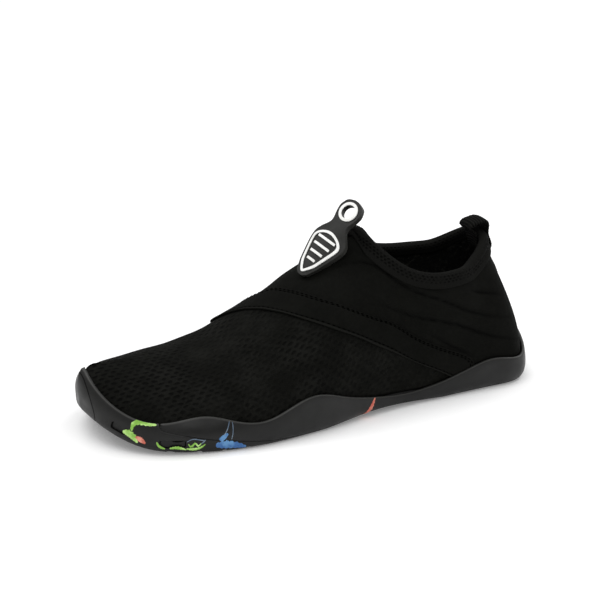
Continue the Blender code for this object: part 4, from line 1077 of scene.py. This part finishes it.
def cutInto(piece, cutter):
    change = piece.modifiers.new("cut", "BOOLEAN")
    change.object, change.operation, change.solver = cutter, "DIFFERENCE", "EXACT"
    bpy.context.view_layer.update()
    shaped = piece.evaluated_get(bpy.context.evaluated_depsgraph_get())
    mesh = bpy.data.meshes.new_from_object(shaped)
    piece.modifiers.clear()
    if len(mesh.polygons) > 0.8 * len(piece.data.polygons):
        piece.data = mesh
    else:
        print("cut left out:", cutter.name)
    bpy.data.objects.remove(cutter)


def drainCutter(name, share, slotLength, turned):
    at = np.array([turned])
    middle = rubber(at, np.array([[share]]))[0, 0]
    ahead = unit(rubber(at + 0.1, np.array([[share]]))[0, 0] - rubber(at - 0.1, np.array([[share]]))[0, 0])
    upward = rubber(at, np.array([[share + 0.05]]))[0, 0] - rubber(at, np.array([[share - 0.05]]))[0, 0]
    out = unit(np.cross(upward, ahead))
    out = out * np.sign((out * outward(at)[0]).sum())
    upward = np.cross(out, ahead)
    corner, half = rubberLook["drainCorner"], np.array((slotLength / 2, rubberLook["drainHigh"] / 2))
    outline = []
    for quarter, (sx, sy) in enumerate(((1, 1), (-1, 1), (-1, -1), (1, -1))):
        for step in range(6):
            turn = quarter * pi / 2 + step * pi / 10
            outline.append((sx * (half[0] - corner) + corner * cos(turn),
                            sy * (half[1] - corner) + corner * sin(turn)))
    form = bmesh.new()
    deep = rubberLook["drainDeep"]
    layers = []
    for depth, shrink in ((-deep, 0.88), (-deep * 0.6, 0.97), (3 * deep, 1.1)):
        heart = middle + place + out * depth
        layers.append([form.verts.new(heart + (ahead * a + upward * b) * shrink) for a, b in outline])
    for lower, higher in zip(layers, layers[1:]):
        for k in range(len(outline)):
            n = (k + 1) % len(outline)
            form.faces.new((lower[k], lower[n], higher[n], higher[k]))
    # The slot walls take the dark line material: painted shade in the drain recesses.
    for face in form.faces:
        face.material_index = 1
    form.faces.new(layers[0][::-1])
    form.faces.new(layers[-1])
    bmesh.ops.recalc_face_normals(form, faces=form.faces)
    mesh = bpy.data.meshes.new(name)
    form.to_mesh(mesh)
    form.free()
    for look in (soleSkin, shadeSkin):
        mesh.materials.append(look)
    cutter = bpy.data.objects.new(name, mesh)
    bpy.context.scene.collection.objects.link(cutter)
    return cutter


def makeOutsole():
    length = last["length"]
    spots = list(np.linspace(0, rows, rows * rubberLook["perRow"] + 1))
    fineRow = np.linspace(0, rows, 2400)
    fineX = outlineX(fineRow)
    for share in rubberLook["grooves"]:
        for away in (-0.62, -0.5, -0.44, 0, 0.44, 0.5, 0.62):
            x = (share - 0.5) * length + away * rubberLook["grooveWide"]
            spots.append(float(np.interp(x, fineX, fineRow)))
    spots = np.unique(np.round(spots, 4))
    keep = np.append(True, np.diff(spots) > 0.004)
    spots = spots[keep]
    r = np.concatenate((spots, 2 * rows - spots[-2::-1]))
    parting = partingHeight(r)
    plateTop = ground(r) + last["sole"] - gap
    toe = rowOf(r) > last["partingRows"][-1]
    start, lip = lipOver(r, parting)
    first = rubberShare(r, parting)
    up = np.linspace(0, 1, rubberLook["soleSteps"] + 1) ** 1.15
    flat = innerLine(r, parting, np.where(parting > plateTop, 2.2 * gap, 0)[:, None])
    t = np.linspace(0, 1, 9)[1:, None, None]
    edge = rubber(r, first[:, None])[:, 0]
    level = np.moveaxis(edge * (1 - t) + flat * t, 0, 1)
    blend = toe[:, None]
    share = np.where(blend, start[:, None] * up, first[:, None] * up)
    outer = rubber(r, share)
    over = np.where(blend[..., None], lip, level)
    inner = []
    for s in (0.5, 1):
        height = (parting - np.where(toe, rubberLook["lip"], 0)) * (1 - s) + plateTop * s
        inner.append(innerLine(r, height, np.where(parting > plateTop, 2.2 * gap, 0)[:, None]))
    ring = np.concatenate((outer, over, np.stack(inner, 1)), 1)
    lift = (ground(r) + grooveLift(ring[:, 0, 0]))[:, None]
    low = ring[:, :12, 2]
    ring[:, :12, 2] = np.maximum(low, lift)
    uv = rubberUv(ring)
    half = len(spots)
    lateral, medial = ring[:half], ring[::-1][:half]
    s = np.linspace(0, 1, 25)[None, :, None]

    def plate(a, b, offset):
        return a[:, None] * (1 - s) + b[:, None] * s + np.array((0, 0, offset))

    bottom = plate(lateral[:, 0], medial[:, 0], 0)
    top = plate(lateral[:, -1], medial[:, -1], 0)
    flatUv = [x[..., :2] * 1000 for x in (bottom, top)]
    patches = [(ring, uv, 0), (bottom, flatUv[0], 0), (top, flatUv[1], 0)]
    paintedShadingMarks = paintedLipHighlight(ring, rubberLook["soleSteps"] + 1) * toe[:, None]
    shades = [paintedShadingMarks, np.zeros(bottom.shape[:2]), np.zeros(top.shape[:2])]
    piece = buildPiece("outsoleRubber", patches, (soleSkin, shadeSkin), ("outsole",),
                       weld=4e-6, shades=shades)
    for name, at, share, slotLength in rubberLook["drains"]:
        for turned in (at, 2 * rows - at):
            cutInto(piece, drainCutter(f"{name}{int(turned)}", share, slotLength, turned))
    return piece


makeSidewall()
outsolePiece = makeOutsole()
print("rubber made", len(outsolePiece.data.polygons))


# Lines and splashes of colour laid on the rubber: places (r, w) and widths in mm.
def ribbon(name, path, widths, look, height=0.00009, rough=0.12, count=70):
    path = np.array(path, float)
    at = runLength(path * (22, 16))
    t = np.linspace(0, 1, count)
    line = Spline(at / at[-1], path)(t)
    fat = np.interp(t, np.linspace(0, 1, len(widths)), widths) / 1000
    fat = fat * (1 + rough * np.sin(t * 41) + 0.6 * rough * np.sin(t * 97 + 1))
    fat = fat * np.sqrt(np.clip(1 - (2 * np.abs(t - 0.5)) ** 12, 0.05, 1))

    def spotAt(r, w):
        return rubber(r, np.asarray(w)[:, None])[:, 0]

    r, w = line[:, 0], line[:, 1]
    small = 2e-3
    toR = (spotAt(r + small, w) - spotAt(r - small, w)) / (2 * small)
    toW = (spotAt(r, w + small) - spotAt(r, w - small)) / (2 * small)
    normal = unit(np.cross(toW, toR))
    normal = normal * np.sign((normal * outward(r)).sum(-1))[:, None]
    centre = spotAt(r, w)
    ahead = unit(np.gradient(centre, axis=0))
    beside = unit(np.cross(normal, ahead))
    rr, ww, rw = (toR**2).sum(-1), (toW**2).sum(-1), (toR * toW).sum(-1)
    br, bw = (beside * toR).sum(-1), (beside * toW).sum(-1)
    whole = rr * ww - rw**2
    stepR, stepW = (br * ww - bw * rw) / whole, (bw * rr - br * rw) / whole
    points = []
    for b in np.linspace(-0.5, 0.5, 7):
        rNow, wNow = r + b * fat * stepR, np.clip(w + b * fat * stepW, 0.01, 1)
        lift = height * (1 - (2 * b) ** 4 * 0.6)
        points.append(spotAt(rNow, wNow) + normal * lift)
    points = np.stack(points, 1)
    uv = np.stack(np.broadcast_arrays(runLength(centre)[:, None] * 1000, np.linspace(-0.5, 0.5, 7)[None] *
                                      fat[:, None] * 1000), -1)
    return buildPiece(name, [(points, uv, 0)], (look,))


splashes = (
    ("greenStrokeA", ((10.38, 0.7), (10.36, 0.84), (10.26, 0.95), (10.04, 0.985), (9.82, 0.97)),
     (1.4, 2.6, 3.0, 2.4, 1.0), "green"),
    ("greenStrokeB", ((10.6, 0.57), (10.46, 0.6), (10.34, 0.54), (10.25, 0.4)), (1.6, 3.8, 3.6, 1.2),
     "green"),
    ("greenStrokeC", ((9.8, 0.56), (9.74, 0.44), (9.6, 0.36)), (0.8, 1.5, 0.9), "green"),
    ("greenStrokeD", ((9.5, 0.38), (9.34, 0.4), (9.12, 0.32)), (1.0, 1.8, 0.8), "green"),
    ("greenStrokeE", ((9.12, 0.36), (8.98, 0.33), (8.84, 0.36), (8.72, 0.47)), (0.9, 1.7, 1.3, 0.6), "green"),
    ("greenStrokeF", ((9.1, 0.5), (9.02, 0.42), (8.95, 0.5), (8.88, 0.43), (8.82, 0.5)), (0.6, 1.1, 0.9, 0.6),
     "green"),
    ("orangeStrokeA", ((10.29, 0.57), (10.18, 0.54), (10.06, 0.46)), (1.8, 3.0, 1.4), "orange"),
    ("orangeStrokeB", ((4.87, 0.97), (4.96, 0.66), (5.1, 0.1)), (0.9, 2.6, 3.6), "orange"),
    ("blueStrokeA", ((8.48, 0.43), (8.2, 0.43), (7.95, 0.38), (7.78, 0.3)), (3.0, 4.6, 3.8, 2.0), "blue"),
    ("blueStrokeB", ((8.4, 0.55), (8.32, 0.64), (8.24, 0.72)), (3.0, 2.6, 1.2), "blue"),
    ("blueLineA", ((8.2, 0.97), (8.25, 0.82), (8.34, 0.66)), (0.5, 0.45, 0.4), "pale"),
    ("blueLineB", ((8.13, 0.97), (8.12, 0.8), (8.14, 0.58)), (0.35, 0.4, 0.35), "pale"),
    ("paleLineA", ((9.14, 0.55), (9.06, 0.6), (8.9, 0.59), (8.76, 0.56)), (0.4, 0.6, 0.4), "pale"),
    ("paleLineC", ((8.84, 0.47), (8.78, 0.52), (8.74, 0.58)), (0.3, 0.8, 0.4), "pale"),
)
paleSkin = splash("paleSplash", (0.07, 0.11, 0.17, 1), (0.18, 0.24, 0.31, 1))
inks = {"green": greenSkin, "orange": orangeSkin, "blue": blueSkin, "pale": paleSkin}
for label, path, widths, ink in splashes:
    ribbon(label, path, widths, inks[ink])
# A dark ribbon along the toe groove: painted shade of the groove.
ribbon("toeGrooveShade", rubberLook["toeLine"], (0.6, 0.65, 0.6), shadeSkin,
       height=0.00004, rough=0.05, count=120)
print("marks made")


# The loose footbed inside.
footbed = {
    "perRow": 10, "edge": ((0, 0), (0, 0.0012), (0.0003, 0.0022), (0.0009, 0.0028), (0.0018, 0.003)),
    "inward": (0.25, 0.5, 0.75, 1), "dip": 0.0004,
}


def makeInsole():
    r = np.linspace(0, 2 * rows, 2 * rows * footbed["perRow"] + 1)
    out = outward(r)
    base = feather(r) - out * (last["wall"] + 2 * gap)
    middleY = (base + base[::-1])[:, 1] / 2
    centre = joined(base[:, 0], middleY, base[:, 2])
    rings = []
    for inward, height in footbed["edge"]:
        rings.append(base - out * inward + np.array((0, 0, height)))
    rim = rings[-1]
    top = np.array((0, 0, height))
    for s in footbed["inward"]:
        flat = rim * (1 - s) + (centre + top) * s
        flat[:, 2] = rim[:, 2] - footbed["dip"] * sin(pi * s / 2)
        rings.append(flat)
    rings.insert(0, centre)
    points = np.stack(rings, 1)
    uv = points[..., :2] * 1000
    piece = buildPiece("insoleFoam", [(points, uv, 0)], (padSkin,), ("insole",), weld=4e-6)
    return piece


makeInsole()
print("insole made")

# The pull tab's own places: a along it from its tip, b across it, height above its underside.
tab = {
    "long": 0.051, "half": 0.0118, "thick": 0.0034, "bend": 0.03, "slope": 46, "turn": 24, "row": 6.61,
    "side": 0.006, "hole": 0.004, "root": 0.3, "eye": 0.851, "ring": 0.0018,
    "trim": 0.0007, "trimGap": 0.00008, "trimRound": 0.0002, "flatFrom": 0.55, "flatTo": 0.72,
    "frameInset": 0.0017, "frameWide": 0.0016, "barWide": 0.0015, "bevel": 0.00055,
    "along": (0, 0.02, 0.06, 0.13, 0.22, 0.34, 0.46, 0.52, 0.58, 0.64, 0.7, 0.76, 0.82, 0.88, 0.94, 0.98, 1),
    "widths": (0.12, 0.27, 0.4, 0.55, 0.7, 0.88, 1, 0.96, 0.78, 0.56, 0.48, 0.55, 0.62, 0.64, 0.55, 0.36,
               0.1),
    "frameHead": 0.6, "frameFull": 0.42, "frameTip": 0.12,
    "bars": ((0.2, 0.25), (0.29, 0.38), (0.38, 0.5), (0.47, 0.55)),
}

slope, turn = radians(tab["slope"]), radians(tab["turn"])
tabUp = np.array((-cos(slope), 0, sin(slope)))
tabNormal = np.array((sin(slope), 0, cos(slope))) * cos(turn) + np.array((0, sin(turn), 0))
tabAcross = np.cross(tabNormal, tabUp)
tabAcross = tabAcross * np.sign(tabAcross[1])
tabFoot = skin(tab["row"], shareBelowTop(tab["row"], tab["side"]), gap)


def tabPoint(a, b, height):
    a, b, height = np.broadcast_arrays(*[np.asarray(x, float) for x in (a, b, height)])
    flatFrom, flatTo = tab["flatFrom"] * tab["long"], tab["flatTo"] * tab["long"]
    drop = np.clip((flatTo - a) / (flatTo - flatFrom), 0, 1) * b**2 / (2 * tab["bend"])
    return tabFoot + a[..., None] * tabUp + b[..., None] * tabAcross + (height - drop)[..., None] * tabNormal


def softCurve(at, values, t):
    return np.clip(Spline(at, values)(t), 0, None)


def makeTab():
    a = (1 - np.cos(np.linspace(0, pi, 61))) / 2 * tab["long"]
    half = tab["half"] * softCurve(tab["along"], tab["widths"], a / tab["long"])
    b = half[:, None] * np.linspace(-1, 1, 15)
    aa = a[:, None] + 0 * b
    under = tabPoint(aa, b, 0)
    shape = under.shape
    under = under.reshape(-1, 3)
    flatA = aa.ravel()
    for _ in range(3):
        r, v = settled(under, np.arange(5, 9.01, 0.1))
        surface = wall(r, v)
        normal = skin(r, v, 1.0) - surface
        clear = ((under - surface) * normal).sum(-1)
        root = np.clip((tab["root"] * tab["long"] - flatA) / (0.5 * tab["root"] * tab["long"]), 0, 1)
        least = 1.2 * gap
        move = np.where(clear < least, least - clear, root * (least - clear))
        under = under + (move / np.maximum((normal * tabNormal).sum(-1), 0.4))[:, None] * tabNormal
    under = under.reshape(shape)
    over = tabPoint(aa, b, tab["thick"])
    flat = np.stack((aa, b), -1) * 1000
    edges = [(np.stack((under[:, j], over[:, j]), 1), np.stack((flat[:, j], flat[:, j]), 1), 0)
             for j in (0, -1)]
    edges += [(np.stack((under[i], over[i]), 0), np.stack((flat[i], flat[i]), 0), 0) for i in (0, -1)]
    piece = buildPiece("tabBody", [(under, flat, 0), (over, flat, 0)] + edges, (tabSkin,),
                       ("pull_tab",))
    angles = np.linspace(0, 2 * pi, 49)[:-1]
    middle = tab["eye"] * tab["long"]
    form = bmesh.new()
    discs = [[form.verts.new(p + place) for p in tabPoint(middle + tab["hole"] * np.cos(angles),
                                                          tab["hole"] * np.sin(angles), h)]
             for h in (-2 * tab["thick"], 3 * tab["thick"])]
    for k in range(len(angles)):
        n = (k + 1) % len(angles)
        form.faces.new((discs[0][k], discs[0][n], discs[1][n], discs[1][k]))
    form.faces.new(discs[0][::-1])
    form.faces.new(discs[1])
    bmesh.ops.recalc_face_normals(form, faces=form.faces)
    mesh = bpy.data.meshes.new("eyeHole")
    form.to_mesh(mesh)
    form.free()
    mesh.materials.append(tabSkin)
    cutter = bpy.data.objects.new("eyeHole", mesh)
    bpy.context.scene.collection.objects.link(cutter)
    cutInto(piece, cutter)
    soften(piece, tab["bevel"])
    return piece


def soften(piece, width, segments=3):
    change = piece.modifiers.new("soften", "BEVEL")
    change.width, change.segments = width, segments
    change.limit_method, change.angle_limit = "ANGLE", radians(40)
    change.harden_normals = True


def strip(name, outer, inner, node, closed=True):
    low, high = tab["thick"] + tab["trimGap"], tab["thick"] + tab["trimGap"] + tab["trim"]
    outer, inner = np.array(outer), np.array(inner)
    if closed:
        outer, inner = np.append(outer, outer[:1], 0), np.append(inner, inner[:1], 0)
    heights = (low, high, high, low, low)
    lines = (outer, outer, inner, inner, outer)
    points = np.stack([tabPoint(line[:, 0], line[:, 1], h) for line, h in zip(lines, heights)], 1)
    uv = np.stack(lines, 1) * 1000
    patches = [(points, uv, 0)]
    if not closed:
        for i in (0, -1):
            cap = np.stack((points[i, :2], points[i, [3, 2]]))
            patches.append((cap, np.stack((uv[i, :2], uv[i, [3, 2]])), 0))
    piece = buildPiece(name, patches, (printSkin,), (node,), weld=1e-7)
    soften(piece, tab["trimRound"], 2)
    return piece


def makeTrims():
    middle = tab["eye"] * tab["long"]
    angles = np.linspace(0, 2 * pi, 65)[:-1]
    rings = [[(middle + radius * cos(t), radius * sin(t)) for t in angles]
             for radius in (tab["hole"] + tab["ring"], tab["hole"] + 0.0001)]
    strip("ringTrim", rings[0], rings[1], "tab_ring")
    frames = []
    for inset in (tab["frameInset"], tab["frameInset"] + tab["frameWide"]):
        foot, head = inset, tab["frameHead"] * tab["long"] - inset
        turns = np.linspace(0, pi, 61)
        a = (foot + head) / 2 - (head - foot) / 2 * np.cos(turns)
        half = tab["half"] * softCurve(tab["along"], tab["widths"], a / tab["long"]) - inset
        start = tab["frameFull"] * tab["long"]
        over = np.clip((a - start) / (head - start), 0, 1)
        fromFoot = np.clip((a - foot) / (tab["frameTip"] * tab["long"]), 0, 1)
        half = np.maximum(half * np.sqrt(1 - over**2.2) * np.sqrt(fromFoot * (2 - fromFoot)), 0)
        half[-1] = 0
        frames.append(np.concatenate((np.stack((a, half), -1), np.stack((a, -half), -1)[-2:0:-1])))
    strip("frameTrim", frames[0], frames[1], "tab_frame")
    for number, (share, width) in enumerate(tab["bars"], start=1):
        a, half = share * tab["long"], width * tab["half"]
        b = np.linspace(-half, half, 9)
        lines = [np.stack((a + side * tab["barWide"] / 2 + 0 * b, b), -1) for side in (-1, 1)]
        strip(f"barTrim{number}", lines[0], lines[1], f"tab_bar_{number}", closed=False)


makeTab()
makeTrims()
print("tab made")

# The floor, the lights and the camera.
studio = {
    "floor": (0.9, 0.9, 0.9, 1), "floorHalf": 6, "glow": 0.16, "air": 0.5,
    "key": 6.0, "keyAt": (0.25, 0.8, 1.2), "keySize": 1.2,
    "sun": 1.35, "sunAt": (0.5, -0.6, 1.6), "sunSoft": 50,
    "fill": 4.0, "fillAt": (-0.9, -0.2, 0.8), "fillSize": 0.8, "exposure": 0.0,
    "azimuth": 154.545, "elevation": 19.945, "roll": -0.364, "away": 1.1906, "focal": 2139.25,
    "look": (0.002969, -0.003741, 0.0592),
}


def makeStudio():
    scene = bpy.context.scene
    floorMesh = bpy.data.meshes.new("floorPlane")
    far = studio["floorHalf"]
    corners = [(-far, -far, 0), (far, -far, 0), (far, far, 0), (-far, far, 0)]
    floorMesh.from_pydata(corners, [], [(0, 1, 2, 3)])
    floor = bpy.data.objects.new("floorPlane", floorMesh)
    scene.collection.objects.link(floor)
    look = bpy.data.materials.new("floorPaint")
    look.use_nodes = True
    shader = look.node_tree.nodes["Principled BSDF"]
    shader.inputs["Base Color"].default_value = studio["floor"]
    shader.inputs["Roughness"].default_value = 0.9
    shader.inputs["Specular IOR Level"].default_value = 0.0
    shader.inputs["Emission Color"].default_value = (1, 1, 1, 1)
    shader.inputs["Emission Strength"].default_value = studio["glow"]
    floorMesh.materials.append(look)
    world = bpy.data.worlds.new("studioAir")
    world.use_nodes = True
    sky = world.node_tree.nodes["Background"]
    sky.inputs["Color"].default_value = (1, 1, 1, 1)
    sky.inputs["Strength"].default_value = studio["air"]
    scene.world = world
    for name in ("key", "fill"):
        light = bpy.data.lights.new(name + "Light", "AREA")
        light.energy, light.size = studio[name], studio[name + "Size"]
        lamp = bpy.data.objects.new(name + "Light", light)
        scene.collection.objects.link(lamp)
        lamp.location = studio[name + "At"]
        lamp.rotation_euler = (Vector((0, 0, 0.04)) - lamp.location).to_track_quat("-Z", "Y").to_euler()
    light = bpy.data.lights.new("topLight", "SUN")
    light.energy, light.angle = studio["sun"], radians(studio["sunSoft"])
    lamp = bpy.data.objects.new("topLight", light)
    scene.collection.objects.link(lamp)
    lamp.location = studio["sunAt"]
    lamp.rotation_euler = lamp.location.to_track_quat("Z", "Y").to_euler()
    a, e, roll = (radians(studio[k]) for k in ("azimuth", "elevation", "roll"))
    back = Vector((sin(a) * cos(e), -cos(a) * cos(e), sin(e)))
    right = Vector((cos(a), sin(a), 0))
    up = back.cross(right)
    right, up = cos(roll) * right + sin(roll) * up, cos(roll) * up - sin(roll) * right
    lens = bpy.data.cameras.new("photoCamera")
    lens.sensor_width = 36
    lens.lens = studio["focal"] / 600 * 36
    lens.clip_start, lens.clip_end = 0.05, 50
    camera = bpy.data.objects.new("photoCamera", lens)
    scene.collection.objects.link(camera)
    turned = Matrix((right, up, back)).transposed().to_4x4()
    turned.translation = Vector(studio["look"]) + studio["away"] * back
    camera.matrix_world = turned
    scene.camera = camera
    scene.view_settings.view_transform = "Standard"
    scene.view_settings.exposure = studio["exposure"]


makeStudio()
print("studio made")
